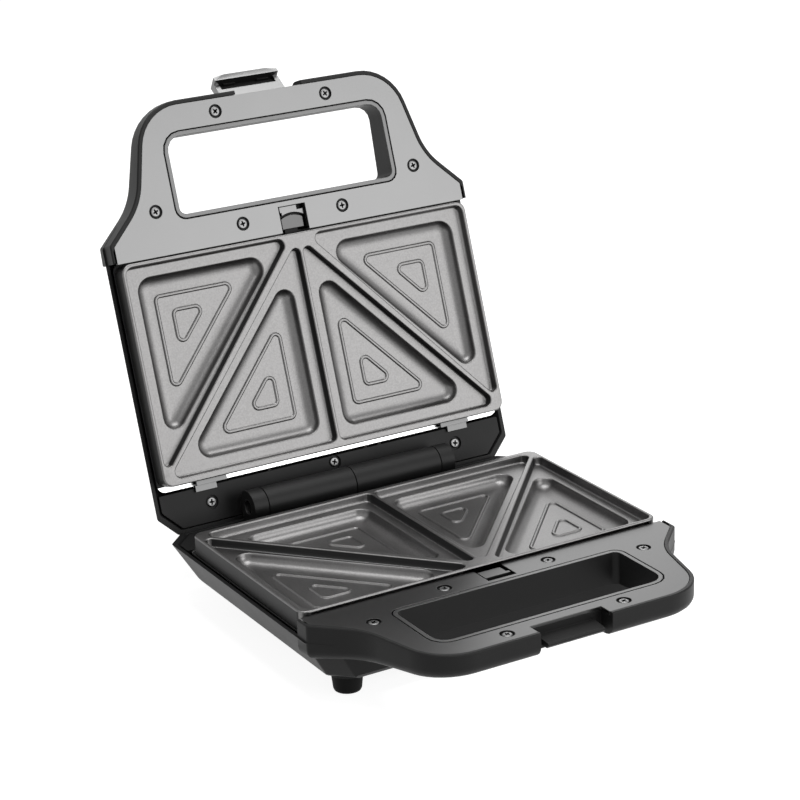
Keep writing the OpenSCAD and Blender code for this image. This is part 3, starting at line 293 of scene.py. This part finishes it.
# ---- Cooking plates ----
# Each plate is one aluminium die casting under a grey speckled non-stick coat. Raised ribs part it into
# four triangular cells; in each, a pocket with rolled lips is pressed down and holds two raised triangles,
# one in the other. Measures are half-frame millimetres, with depths counted down from the joint.
plate_coating = finish("plate_coating", 0.145, metal=1.0, rough=0.36, grain=0.00002, pitch=0.0005,
                       mottle=0.08, speckle=1.4, tint=(1.0, 0.985, 0.98))
# Painted shade: a near-black finish for the plate's skirt, its sideways rib walls and the trays' flange.
painted_shade_dark = finish("painted_shade_skirt_walls", 0.03, metal=0.8, rough=0.5, grain=0.00002, pitch=0.0005)

# Corners are x, y and radius. The cells' and pockets' are those of the right half.
plate_x, plate_y, plate_corner = 118, 66.7, 6
plate_plan = [(-plate_x, -plate_y, plate_corner), (plate_x, -plate_y, plate_corner),
              (plate_x, plate_y, plate_corner), (-plate_x, plate_y, plate_corner)]
cell_plans = [[(1.1, -62.315, 3.2), (114.963, 62.7, 4), (1.1, 62.7, 4)],
              [(5.897, -64.5, 4), (115.8, -64.5, 5), (115.8, 59.461, 3)]]
pocket_plans = [[(8.5, -45.28, 7), (100.108, 55.3, 8), (8.5, 55.3, 8)],
                [(15.318, -57.1, 8), (108.4, -57.1, 9), (108.4, 45.098, 7)]]
plate_top, land_depth, pocket_floor, skirt_depth = 0.15, 5.15, 11.15, 11.5
ridge_insets, ridge_radius, least_radius = (12.2, 21.9), 3.2, 0.3
seam_distance = 3e-6

# The slot for the button's tongue in the handle side, and the lugs for the clips on the hinge side.
slot_x, slot_length, slot_top, slot_bottom = 5.5, 3.2, 7.5, 10.9
lug_x, lug_half_width, lug_length, lug_top, lug_bottom = 85, 7, 1.9, 8.5, 10.5

# Painted shade in a dark finish: on the skirt within a narrow band of its side and below a small depth, and
# on the steep walls of the middle and slanting ribs.
skirt_band, painted_shade_depth = 0.3, 1.2
rib_wall_x, rib_wall_top, rib_wall_foot, rib_wall_slope = 114, 0.5, 4.9, 0.5


def moved_in(corners, inset, radius=None):
    """Rounded corners given as x, y, radius, with every side moved in by the inset. A corner moves by
    inset / (1 + cos turn) along the sum of its two side normals, and its radius shrinks by the inset,
    unless a new one is given."""
    c = np.array(corners, float)
    into = c[:, :2] - np.roll(c[:, :2], 1, 0)
    into /= np.linalg.norm(into, axis=1)[:, None]
    away = np.roll(into, -1, 0)
    normals = np.stack([-into[:, 1] - away[:, 1], into[:, 0] + away[:, 0]], 1)
    cosine = (into * away).sum(1)
    side = np.sign(into[:, 0] * away[:, 1] - into[:, 1] * away[:, 0])
    shrunk = np.maximum(least_radius, c[:, 2] - inset * side)
    new = shrunk if radius is None else np.full(len(c), float(radius))
    return np.column_stack([c[:, :2] + normals * (inset / (1 + cosine))[:, None], new])


def plan_curve(corners, inset=0.0, steps=8):
    """A closed curve through rounded corners whose sides have moved in by the inset. A corner's arc turns the
    spoke from its centre to the first tangent point through the angle between the two sides."""
    c = moved_in(corners, inset)
    corner, radius = c[:, :2], c[:, 2]
    into = corner - np.roll(corner, 1, 0)
    into /= np.linalg.norm(into, axis=1)[:, None]
    away = np.roll(into, -1, 0)
    normal_in = np.stack([-into[:, 1], into[:, 0]], 1)
    cosine = np.clip((into * away).sum(1), -1, 1)
    side = np.sign(into[:, 0] * away[:, 1] - into[:, 1] * away[:, 0])
    turn = np.arccos(cosine)
    spoke = -normal_in * (radius * side)[:, None]
    centre = corner - into * (radius * np.tan(turn / 2))[:, None] - spoke
    angle = np.linspace(0, 1, steps + 1)[None, :] * (turn * side)[:, None]
    x, y = turned(spoke[:, :1], spoke[:, 1:], angle)
    return np.stack([(centre[:, :1] + x).ravel(), (centre[:, 1:] + y).ravel()], 1)


def level_ring(curve, depth):
    """A plan curve laid at a depth below the joint."""
    return np.column_stack([curve, np.full(len(curve), -float(depth))])


def rings_along(corners, line):
    """One level ring of the outline for each pair of inset and depth of the line."""
    return [level_ring(plan_curve(corners, inset), depth) for inset, depth in line]


def skin(rings, first_cap=False, last_cap=False):
    """Quads between successive closed rings of equal length, given as rows of points; a cap closes an end."""
    points = np.concatenate(rings)
    n, rows = len(rings[0]), len(rings)
    i = np.arange(n)
    j = (i + 1) % n
    faces = [list(f) for r in range(rows - 1)
             for f in np.stack([r * n + i, r * n + j, (r + 1) * n + j, (r + 1) * n + i], 1).tolist()]
    if first_cap:
        faces.append(list(range(n - 1, -1, -1)))
    if last_cap:
        faces.append(list(range((rows - 1) * n, rows * n)))
    return points, faces


def pierced(outer, holes, depth, up=True):
    """A flat face inside one plan curve and outside several others, cut into Delaunay triangles."""
    loops = [outer] + holes
    points = [Vector(p) for p in np.concatenate(loops).tolist()]
    starts = np.cumsum([0] + [len(loop) for loop in loops])
    rims = [list(range(a, b)) for a, b in zip(starts[:-1], starts[1:])]
    verts, _, faces, _, _, origin = geometry.delaunay_2d_cdt(points, [], rims, 1, 1e-5)
    faces = [list(f) if up else list(f)[::-1] for f, o in zip(faces, origin) if list(o) == [0]]
    return level_ring(np.array([v[:] for v in verts]), depth), faces


def box_faces(low, high, open_side=None):
    """A box between two corners of half-frame millimetres, given by its depths, without the open side: side
    0 to 5 are low x, high x, low y, high y, deep and shallow."""
    (x0, y0, d0), (x1, y1, d1) = low, high
    points = np.array([(x, y, -d) for d in (d1, d0) for y in (y0, y1) for x in (x0, x1)], float)
    sides = [[0, 4, 6, 2], [1, 3, 7, 5], [0, 1, 5, 4], [2, 6, 7, 3], [0, 2, 3, 1], [4, 5, 7, 6]]
    return points, [f for k, f in enumerate(sides) if k != open_side]


def inside_out(part):
    """The same points, with every face wound the other way round."""
    points, faces = part
    return points, [f[::-1] for f in faces]


def joined(parts):
    """One list of points and faces out of several."""
    points, faces, start = [], [], 0
    for p, f in parts:
        points.append(p)
        faces += [[k + start for k in face] for face in f]
        start += len(p)
    return np.concatenate(points), faces


def built(name, parts, place, material, node, angle):
    """A new piece from points and faces: welded, shaded smooth up to the angle in degrees, put in place and
    on the body of the node that it replaces. The lid's place is a mirror image, so its faces are turned
    round."""
    points, faces = inside_out(joined(parts)) if place is at_lid else joined(parts)
    mesh = bpy.data.meshes.new(name)
    mesh.from_pydata(place(points).tolist(), [], faces)
    welded = bmesh.new()
    welded.from_mesh(mesh)
    bmesh.ops.remove_doubles(welded, verts=welded.verts, dist=seam_distance)
    welded.to_mesh(mesh)
    welded.free()
    mesh.shade_smooth()
    mesh.set_sharp_from_angle(angle=math.radians(angle))
    mesh.materials.append(material)
    piece = bpy.data.objects.new(name, mesh)
    scene.collection.objects.link(piece)
    even = piece.modifiers.new("even_shading", "WEIGHTED_NORMAL")
    even.keep_sharp = True
    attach(piece, body_of_node[node])
    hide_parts(node)
    return piece


def spline(knots, steps):
    """Points on the Catmull-Rom curve through the knots: between two knots, the cubic whose end slopes are
    half the difference of the neighbours."""
    k = np.array(knots, float)
    k = np.vstack([2 * k[0] - k[1], k, 2 * k[-1] - k[-2]])
    t = np.linspace(0, 1, steps, endpoint=False)[None, :, None]
    a, b, c, d = (k[i:len(k) - 3 + i, None, :] for i in range(4))
    square, cube = 2 * a - 5 * b + 4 * c - d, 3 * b - a - 3 * c + d
    curve = 0.5 * (2 * b + (c - a) * t + square * t ** 2 + cube * t ** 3)
    return np.vstack([curve.reshape(-1, 2), k[-2]])


def left_right(corners):
    """A right-hand outline and its mirror image on the left, both turning anticlockwise."""
    return [corners, [(-x, y, r) for x, y, r in corners[::-1]]]


# Pairs of inset and depth: the rib's round shoulder, the drafted wall and the foot's fillet; then the
# pocket's rolled lip and its slope that runs out on the floor. A raised triangle is a low band with a flat
# top. The plate's outer edge is a quarter round above the skirt, and the pockets' undersides stand out as
# bosses.
wall_line = [(-0.75, plate_top), (-0.46, 0.21), (-0.22, 0.37), (-0.06, 0.61), (0.0, 0.9), (0.2, 2.9),
             (0.4, 4.2), (0.65, 4.7), (0.95, 4.97), (1.3, 5.11), (1.6, land_depth)]
slope_line = spline([(-0.7, land_depth), (-0.2, 5.25), (0.15, 5.6), (0.4, 6.2), (0.65, 7.0), (0.95, 7.8),
                     (1.5, 8.7), (2.3, 9.5), (3.4, 10.15), (4.8, 10.65), (6.4, 10.97), (8.2, 11.12),
                     (9.4, pocket_floor)], 2)
ridge_side = [(1.3, pocket_floor), (1.05, 11.05), (0.75, 10.5), (0.5, 10.35)]
ridge_line = [(-inset, depth) for inset, depth in ridge_side] + [(0.0, 10.32)] + ridge_side[::-1]
edge_radius = 0.8
edge_line = [(edge_radius * (1 - math.sin(a)), plate_top + edge_radius * (1 - math.cos(a)))
             for a in np.linspace(0, np.pi / 2, 5)]
sole_line = [(0.0, skirt_depth - 0.5), (0.15, skirt_depth - 0.15), (0.5, skirt_depth)]
boss_line = [(2.6, skirt_depth), (3.4, 12.4), (5.2, 13.2)]


def cell_basin(cell, pocket):
    """One cell: the rings of its wall, two on the land that blend the wall's foot into the pocket's lip, the
    pocket's, and those of the two raised triangles inside it. The last ring is closed by the floor."""
    rings = rings_along(cell, wall_line)
    land_in, land_out = plan_curve(cell, wall_line[-1][0]), plan_curve(pocket, slope_line[0][0])
    rings += [level_ring(land_in + (land_out - land_in) * share, land_depth) for share in (0.33, 0.67)]
    rings += rings_along(pocket, slope_line)
    for inset in ridge_insets:
        rings += rings_along(moved_in(pocket, inset, ridge_radius), ridge_line)
    return skin(rings, last_cap=True)


def skirt():
    """The plate's rounded edge and upright skirt, with the two lugs. The skirt's one quad on the handle's
    side is laid flat, pierced by the slot and set up again, with the slot's walls behind it."""
    points, faces = skin(rings_along(plate_plan, (edge_line + sole_line)[::-1]))
    tall = [f for f in faces if np.ptp(points[f][:, 2]) > skirt_depth / 2]
    front = [f for f in tall if np.all(np.abs(points[f][:, 1] + plate_y) < 1e-6)]
    slot = np.array([(-slot_x, slot_top), (slot_x, slot_top), (slot_x, slot_bottom), (-slot_x, slot_bottom)])
    flat, triangles = pierced(points[front[0]][:, [0, 2]] * (1, -1), [slot], 0)
    panel = np.column_stack([flat[:, 0], np.full(len(flat), -plate_y), -flat[:, 1]])
    slot_walls = box_faces((-slot_x, -plate_y, slot_top), (slot_x, slot_length - plate_y, slot_bottom), 2)
    lugs = [box_faces((x - lug_half_width, plate_y, lug_top),
                      (x + lug_half_width, plate_y + lug_length, lug_bottom), 2) for x in (-lug_x, lug_x)]
    return [(points, [f for f in faces if f not in front]), (panel, triangles), inside_out(slot_walls)] + lugs


def cooking_plate(name, place, node):
    """The whole plate: four cells, a pierced top face between them, the skirt, and a pierced sole with a
    boss under each pocket. Painted shade darkens its faces by their places and, on the rib walls, by how
    far they face sideways."""
    cells = [pair for cell, pocket in zip(cell_plans, pocket_plans)
             for pair in zip(left_right(cell), left_right(pocket))]
    parts = [cell_basin(cell, pocket) for cell, pocket in cells]
    shoulders = [plan_curve(cell, wall_line[0][0]) for cell, _ in cells]
    parts.append(pierced(plan_curve(plate_plan, edge_radius), shoulders, plate_top))
    parts += skirt()
    parts += [inside_out(skin(rings_along(pocket, boss_line), last_cap=True)) for _, pocket in cells]
    bosses = [plan_curve(pocket, boss_line[0][0]) for _, pocket in cells]
    parts.append(pierced(plan_curve(plate_plan, sole_line[-1][0]), bosses, skirt_depth, up=False))
    plate = built(name, parts, place, plate_coating, node, angle=55)
    c = face_centres(plate, place)
    beside = (np.abs(c[:, 0]) > plate_x - skirt_band) | (np.abs(c[:, 1]) > plate_y - skirt_band)
    sideways = np.abs([f.normal[0] for f in plate.data.polygons]) > rib_wall_slope
    on_wall = (c[:, 2] < -rib_wall_top) & (c[:, 2] > -rib_wall_foot) & (np.abs(c[:, 0]) < rib_wall_x)
    # Painted shade on the skirt's sides and on the rib walls that face sideways.
    further_finish(plate, painted_shade_dark, (beside & (c[:, 2] < -painted_shade_depth)) | (sideways & on_wall))


cooking_plate("lower_cooking_plate", at_base, "lower_plate")
cooking_plate("upper_cooking_plate", at_lid, "upper_plate")

# ---- Plate clips ----
# Clips bent from spring steel strip stand on the hinge edge of each reflector tray. The plate's lugs slip
# under them.
clip_steel = finish("clip_spring_steel", 0.11, metal=1.0, rough=0.35, grain=0.000006, pitch=0.0005,
                    round_edge=0.0002)
for node in ("lower_plate_clips", "upper_plate_clips"):
    dressed(node, clip_steel)

# ---- Cover screws ----
# Zinc-plated pan-head screws with a cross recess, nine to a half: six hold the handle cover and three the
# rear strip. Each head sits low in a round well.
steel = finish("zinc_steel", 0.16, metal=1.0, rough=0.34, grain=0.000006, pitch=0.0005, round_edge=0.0001)
handle_seat, rear_seat = 3.5, 13.6
rear_screws = [(-85.5, 81.7), (85.5, 81.7), (0, 75.5)]
screw_places = [(x * side, y, handle_seat) for x, y in handle_screws for side in (-1, 1)]
screw_places += [(x, y, rear_seat) for x, y in rear_screws]
turn_step = 1.7

# Lines of radius and depth below the head's underside. The cross is a quarter of its plan, turned four times.
head_line = [(1.45, 0), (2.85, 0), (3.0, -0.12), (3.0, -0.5), (2.93, -0.78), (2.75, -0.98), (2.55, -1.08),
             (2.3, -1.14)]
shank_line = [(0.7, 8.9), (1.1, 8.5), (1.45, 8.1), (1.45, 0)]
arm, half_arm, tip_radius, corner_radius = 1.75, 0.5, 0.3, 0.1
cross_quarter = [(half_arm, -arm, tip_radius), (half_arm, -half_arm, corner_radius),
                 (arm, -half_arm, tip_radius)]
cross_plan = [(x * c - y * s, x * s + y * c, radius)
              for c, s in ((1, 0), (0, 1), (-1, 0), (0, -1)) for x, y, radius in cross_quarter]
cross_taper, cross_floor, cross_steps = 0.1, 0.9, 3

# A cross has painted shade inside this reach from the screw's axis, between two heights over the head's
# underside.
dark_reach, dark_top, dark_floor = 1.85, 1.0, -1.2


def circle_rings(line, sides=40):
    """A level ring for each pair of radius and depth: radius times cosine and sine of equal turns."""
    a = np.arange(sides) * 2 * np.pi / sides
    unit = np.stack([np.cos(a), np.sin(a)], 1)
    return [level_ring(radius * unit, depth) for radius, depth in line]


def pan_head(turn):
    """A screw about the upright axis, its head's underside at height 0: the head's line is turned round, the
    top is pierced by the cross, and the cross tapers to its floor. The whole is turned about the axis."""
    rings = circle_rings(head_line)
    top = head_line[-1][1]
    cross = plan_curve(cross_plan, 0, cross_steps)
    narrowed = plan_curve(cross_plan, cross_taper, cross_steps)
    recess = skin([level_ring(cross, top), level_ring(narrowed, cross_floor)], last_cap=True)
    shank = skin(circle_rings(shank_line), first_cap=True)
    points, faces = joined([skin(rings), pierced(rings[-1][:, :2], [cross], top), recess, shank])
    x, y = turned(points[:, 0], points[:, 1], turn)
    return np.column_stack([x, y, points[:, 2]]), faces


def in_cross(c):
    """Faces inside the crosses, which get painted shade in the black plastic's finish."""
    chosen = np.zeros(len(c), bool)
    for x, y, depth in screw_places:
        near = np.hypot(c[:, 0] - x, c[:, 1] - y) < dark_reach
        chosen |= near & (c[:, 2] + depth < dark_top) & (c[:, 2] + depth > dark_floor)
    return chosen


for name, place, node, first_turn in (("base_screws", at_base, "base_cover_screws", 0.4),
                                      ("lid_screws", at_lid, "lid_cover_screws", 0.9)):
    parts = []
    for k, (x, y, depth) in enumerate(screw_places):
        points, faces = pan_head(first_turn + turn_step * k)
        parts.append((points + np.array([x, y, -depth]), faces))
    screws = built(name, parts, place, steel, node, angle=35)
    # Painted shade in the cross recesses.
    further_finish(screws, black_plastic, in_cross(face_centres(screws, place)))

# ---- Release buttons and their springs ----
# A grey sliding block lies in a window of each cover; its faces below the grey tops have painted shade in
# black. The lid's has a raised bar with one corner cut away, then a groove in an arc and a thumb dish. The
# base's has its raised pad on the plate's side, with the same cut corner. A coil spring of steel wire behind
# each block pushes its tongue into the plate's slot.
dish_paint = finish("button_dish_grey", 0.085, metal=1.0, rough=0.4, mottle=0.02, spread=0.01)
groove_centre, bar_radius, dish_radius = -63.1, 16.3, 14.7
pad_top, bar_top, dish_top, block_top, block_bottom = 2.5, 4.6, 5.2, 7.6, 11.6
tongue = ((-4.5, -72.4, 8.7), (4.5, -65.0, 10.5))


def prism(outline, top, bottom):
    """A straight block under an outline of plan points, open at the bottom."""
    outline = np.array(outline, float)
    return skin([level_ring(outline, bottom), level_ring(outline, top)], last_cap=True)


def groove_arc(radius, x0, x1, steps=14):
    """Points from x0 to x1 of an arc about groove_centre: y = centre - sqrt(radius^2 - x^2)."""
    x = np.linspace(x0, x1, steps)
    return np.stack([x, groove_centre - np.sqrt(radius ** 2 - x * x)], 1).tolist()


# Plans of the sliding block and of what stands on it, with the handle's side towards -y.
block = [(-8.5, -84.0), (8.5, -84.0), (8.5, -71.4), (-8.5, -71.4)]
bar = [(-7.4, -83.4), (4.2, -83.4), (4.2, -80.6), (8.2, -80.6)]
bar += groove_arc(bar_radius, 8.2, -6.4) + [(-6.4, -80.0), (-7.4, -80.0)]
dish = groove_arc(dish_radius, -7.2, 7.2) + [(7.2, -69.8), (-7.2, -69.8)]
pad = [(-8.3, -79.2), (8.3, -79.2), (8.3, -76.8), (6.6, -76.8), (6.6, -70.4), (-8.3, -70.4)]
for name, place, node, paint, tops in (
    ("base_release_button", at_base, "lower_release_button", collar_paint, [(pad, pad_top)]),
    ("lid_release_button", at_lid, "upper_release_button", silver_paint, [(bar, bar_top), (dish, dish_top)]),
):
    parts = [prism(outline, top, block_top) for outline, top in tops]
    parts += [prism(block, block_top, block_bottom), box_faces(*tongue)]
    button = built(name, parts, place, paint, node, angle=35)
    c = face_centres(button, place)
    # Painted shade: every face of the button but its tops takes the black plastic's finish.
    further_finish(button, black_plastic, ~np.any([at_depth(c, top) for _, top in tops], 0))
    further_finish(button, dish_paint, at_depth(c, dish_top))
for node in ("lower_button_spring", "upper_button_spring"):
    dressed(node, steel)

# ---- Heating elements ----
# A dull steel tube with the heating wire inside it runs in bends under each plate. Bent steel saddles carry
# it above the tray's floor.
dark_steel = finish("element_steel", 0.07, metal=0.9, rough=0.45, grain=0.00001)
for node in ("lower_heating_element", "upper_heating_element"):
    dressed(node, dark_steel)
for node in ("lower_element_saddles", "upper_element_saddles"):
    dressed(node, steel)

# ---- Reflector trays ----
# A tray of bright aluminium sheet under each plate throws the heat back. Screws fix it to the casing's
# pillars. Its flange shows only behind the plate: along the gap round the plate its darkness is painted
# shade.
bright_metal = finish("bright_tray_metal", 0.62, metal=1.0, rough=0.25, grain=0.00001, pitch=0.002)
shaded_rear, flange_underside = 66.5, 12.8


def reflector(node, place):
    """The tray, cut along the plane y = shaded_rear. The faces of its flange in front of that have the dark
    finish, as painted shade."""
    tray = dressed(node, bright_metal)
    two_points = np.array([[0, shaded_rear, 0], [0, shaded_rear + 1, 0]])
    spot, beyond = (Vector(p) for p in place(two_points).tolist())
    cut = bmesh.new()
    cut.from_mesh(tray.data)
    bmesh.ops.bisect_plane(cut, geom=cut.verts[:] + cut.edges[:] + cut.faces[:], plane_co=spot,
                           plane_no=(beyond - spot).normalized(), dist=1e-6)
    cut.to_mesh(tray.data)
    cut.free()
    c = face_centres(tray, place)
    # Painted shade on the flange along the gap round the plate.
    further_finish(tray, painted_shade_dark, (c[:, 1] < shaded_rear) & (c[:, 2] > -flange_underside))


reflector("lower_reflector_tray", at_base)
reflector("upper_reflector_tray", at_lid)
for node in ("lower_tray_screws", "upper_tray_screws"):
    dressed(node, steel)

# ---- Thermostat, fuse, terminal block and wires ----
# The controls stand in the base's wiring space on bodies of cream ceramic. Wires in pale heat-proof sleeves
# run from the terminal block to the elements' tags and the lid's lamps.
cream = finish("cream_ceramic", 0.7, rough=0.5, grain=0.00001, tint=(1, 0.95, 0.85))
sleeve = finish("wire_sleeve", 0.5, rough=0.55, grain=0.00002, tint=(1, 0.97, 0.9))
for node in ("thermostat", "thermal_fuse", "terminal_block"):
    dressed(node, cream)
for node in ("base_wires", "lid_wires"):
    dressed(node, sleeve)

# ---- Indicator lamps ----
# A red lens for power and a green one for ready, both of clear tinted plastic, sit in the lid's outer face. A
# small glass lamp stands behind each.
red_lens = finish("red_lens", 0.35, rough=0.2, tint=(1, 0.06, 0.04), coat=0.5)
green_lens = finish("green_lens", 0.25, rough=0.2, tint=(0.1, 1, 0.25), coat=0.5)
lamp_glass = finish("lamp_glass", 0.5, rough=0.25, tint=(1, 0.85, 0.7))
for node, slot, material in (("power_lens", "red_lens", red_lens), ("ready_lens", "green_lens", green_lens),
                             ("power_lamp", "lamp_glass", lamp_glass),
                             ("ready_lamp", "lamp_glass", lamp_glass)):
    dressed(node, material)

# ---- Feet and cord gland ----
# Four feet of black rubber are screwed on below the base. The gland that grips the cord, of the same
# rubber, sits in the base's rear wall.
rubber = finish("foot_rubber", 0.004, rough=0.7, grain=0.00003, specular=0.12)
for node in ("front_left_foot", "front_right_foot", "rear_left_foot", "rear_right_foot", "cord_gland"):
    dressed(node, rubber)
dressed("foot_screws", steel)

# ---- Hinge tube and lead ----
# The hinge's knuckles turn on a hollow pin, a dull steel tube. The lead from the base to the lid runs
# through it in a black rubber jacket.
dressed("hinge_tube", dark_steel)
dressed("hinge_lead", rubber)

# ---- Latch ----
# A hook of silver-painted plastic turns on a steel pin in the lid's front edge. At rest it lies back past
# upright, so its bowed end stands over the handle; the groove that takes the base's bar has painted shade in
# black inside.
latch_silver = finish("latch_silver", 0.19, metal=1.0, rough=0.34, grain=0.000004, pitch=0.0004)
latch_y, latch_z, latch_swing = -150, -10.5, math.radians(131)
groove_x, groove_front, groove_low, groove_high = 18.7, -157.5, 8.4, 13.6


def in_groove(c):
    """Faces of the groove, which get painted shade. The centres are turned back by the latch's swing about
    its pivot first.
    """
    y, z = turned(c[:, 1] - latch_y, c[:, 2] - latch_z, -latch_swing)
    y, z = y + latch_y, z + latch_z
    return (np.abs(c[:, 0]) < groove_x) & (y > groove_front) & (z > groove_low) & (z < groove_high)


latch = dressed("latch", latch_silver, angle=50)
# Painted shade in the latch's groove.
further_finish(latch, black_plastic, in_groove(face_centres(latch, at_lid)))
dressed("latch_pin", steel)

# ---- Floor, light and background ----
# A matt pale floor and a dim white world light the object evenly, with three large soft lights. The camera,
# mirrors and glass see both as plain white.
floor_half = 3


def glow(tree, surface, out, seen):
    """Makes camera, mirror and glass rays see one shader and other rays the surface: the share of the first
    is the largest of the three ray flags."""
    path = tree.nodes.new("ShaderNodeLightPath")
    share = path.outputs["Is Camera Ray"]
    for flag in ("Is Glossy Ray", "Is Transmission Ray"):
        larger = tree.nodes.new("ShaderNodeMath")
        larger.operation = "MAXIMUM"
        tree.links.new(share, larger.inputs[0])
        tree.links.new(path.outputs[flag], larger.inputs[1])
        share = larger.outputs[0]
    mix = tree.nodes.new("ShaderNodeMixShader")
    tree.links.new(share, mix.inputs[0])
    tree.links.new(surface, mix.inputs[1])
    tree.links.new(seen, mix.inputs[2])
    tree.links.new(mix.outputs[0], out)


world = bpy.data.worlds.new("studio")
scene.world = world
world.use_nodes = True
tree = world.node_tree
tree.nodes.clear()
world_out = tree.nodes.new("ShaderNodeOutputWorld")
ambient = tree.nodes.new("ShaderNodeBackground")
ambient.inputs["Color"].default_value = (1, 1, 1, 1)
ambient.inputs["Strength"].default_value = 0.3
white = tree.nodes.new("ShaderNodeBackground")
white.inputs["Color"].default_value = (1, 1, 1, 1)
white.inputs["Strength"].default_value = 1.0
glow(tree, ambient.outputs[0], world_out.inputs["Surface"], white.outputs[0])

floor_mesh = bpy.data.meshes.new("floor")
floor_corners = [(-floor_half, -floor_half, 0), (floor_half, -floor_half, 0),
                 (floor_half, floor_half, 0), (-floor_half, floor_half, 0)]
floor_mesh.from_pydata(floor_corners, [], [(0, 1, 2, 3)])
floor = bpy.data.objects.new("floor", floor_mesh)
scene.collection.objects.link(floor)
floor_paint = bpy.data.materials.new("floor_paint")
floor_paint.use_nodes = True
tree = floor_paint.node_tree
tree.nodes.clear()
floor_out = tree.nodes.new("ShaderNodeOutputMaterial")
matt = tree.nodes.new("ShaderNodeBsdfDiffuse")
matt.inputs["Color"].default_value = (0.4, 0.4, 0.4, 1)
bright = tree.nodes.new("ShaderNodeEmission")
bright.inputs["Strength"].default_value = 0.9
pale = tree.nodes.new("ShaderNodeAddShader")
tree.links.new(matt.outputs[0], pale.inputs[0])
tree.links.new(bright.outputs[0], pale.inputs[1])
glow(tree, matt.outputs[0], floor_out.inputs["Surface"], pale.outputs[0])
floor_mesh.materials.append(floor_paint)


def soft_box(name, place, aim, size, power):
    """A square soft light of a size in metres and a power in watts, at a place and turned to the aim
    point."""
    light = bpy.data.lights.new(name, "AREA")
    light.energy = power
    light.size = size
    obj = bpy.data.objects.new(name, light)
    obj.location = place
    obj.rotation_euler = (Vector(aim) - Vector(place)).to_track_quat("-Z", "Y").to_euler()
    scene.collection.objects.link(obj)


soft_box("front_soft_box", (0.7, -1.23, 0.49), (0, 0.05, 0.15), 1.1, 12.5)
soft_box("top_soft_box", (0.1, 0.0, 1.35), (0, 0, 0.05), 1.0, 15)
soft_box("rear_soft_box", (0.75, 1.27, 0.6), (0, 0, 0.05), 0.8, 3.3)
scene.view_settings.view_transform = "Standard"
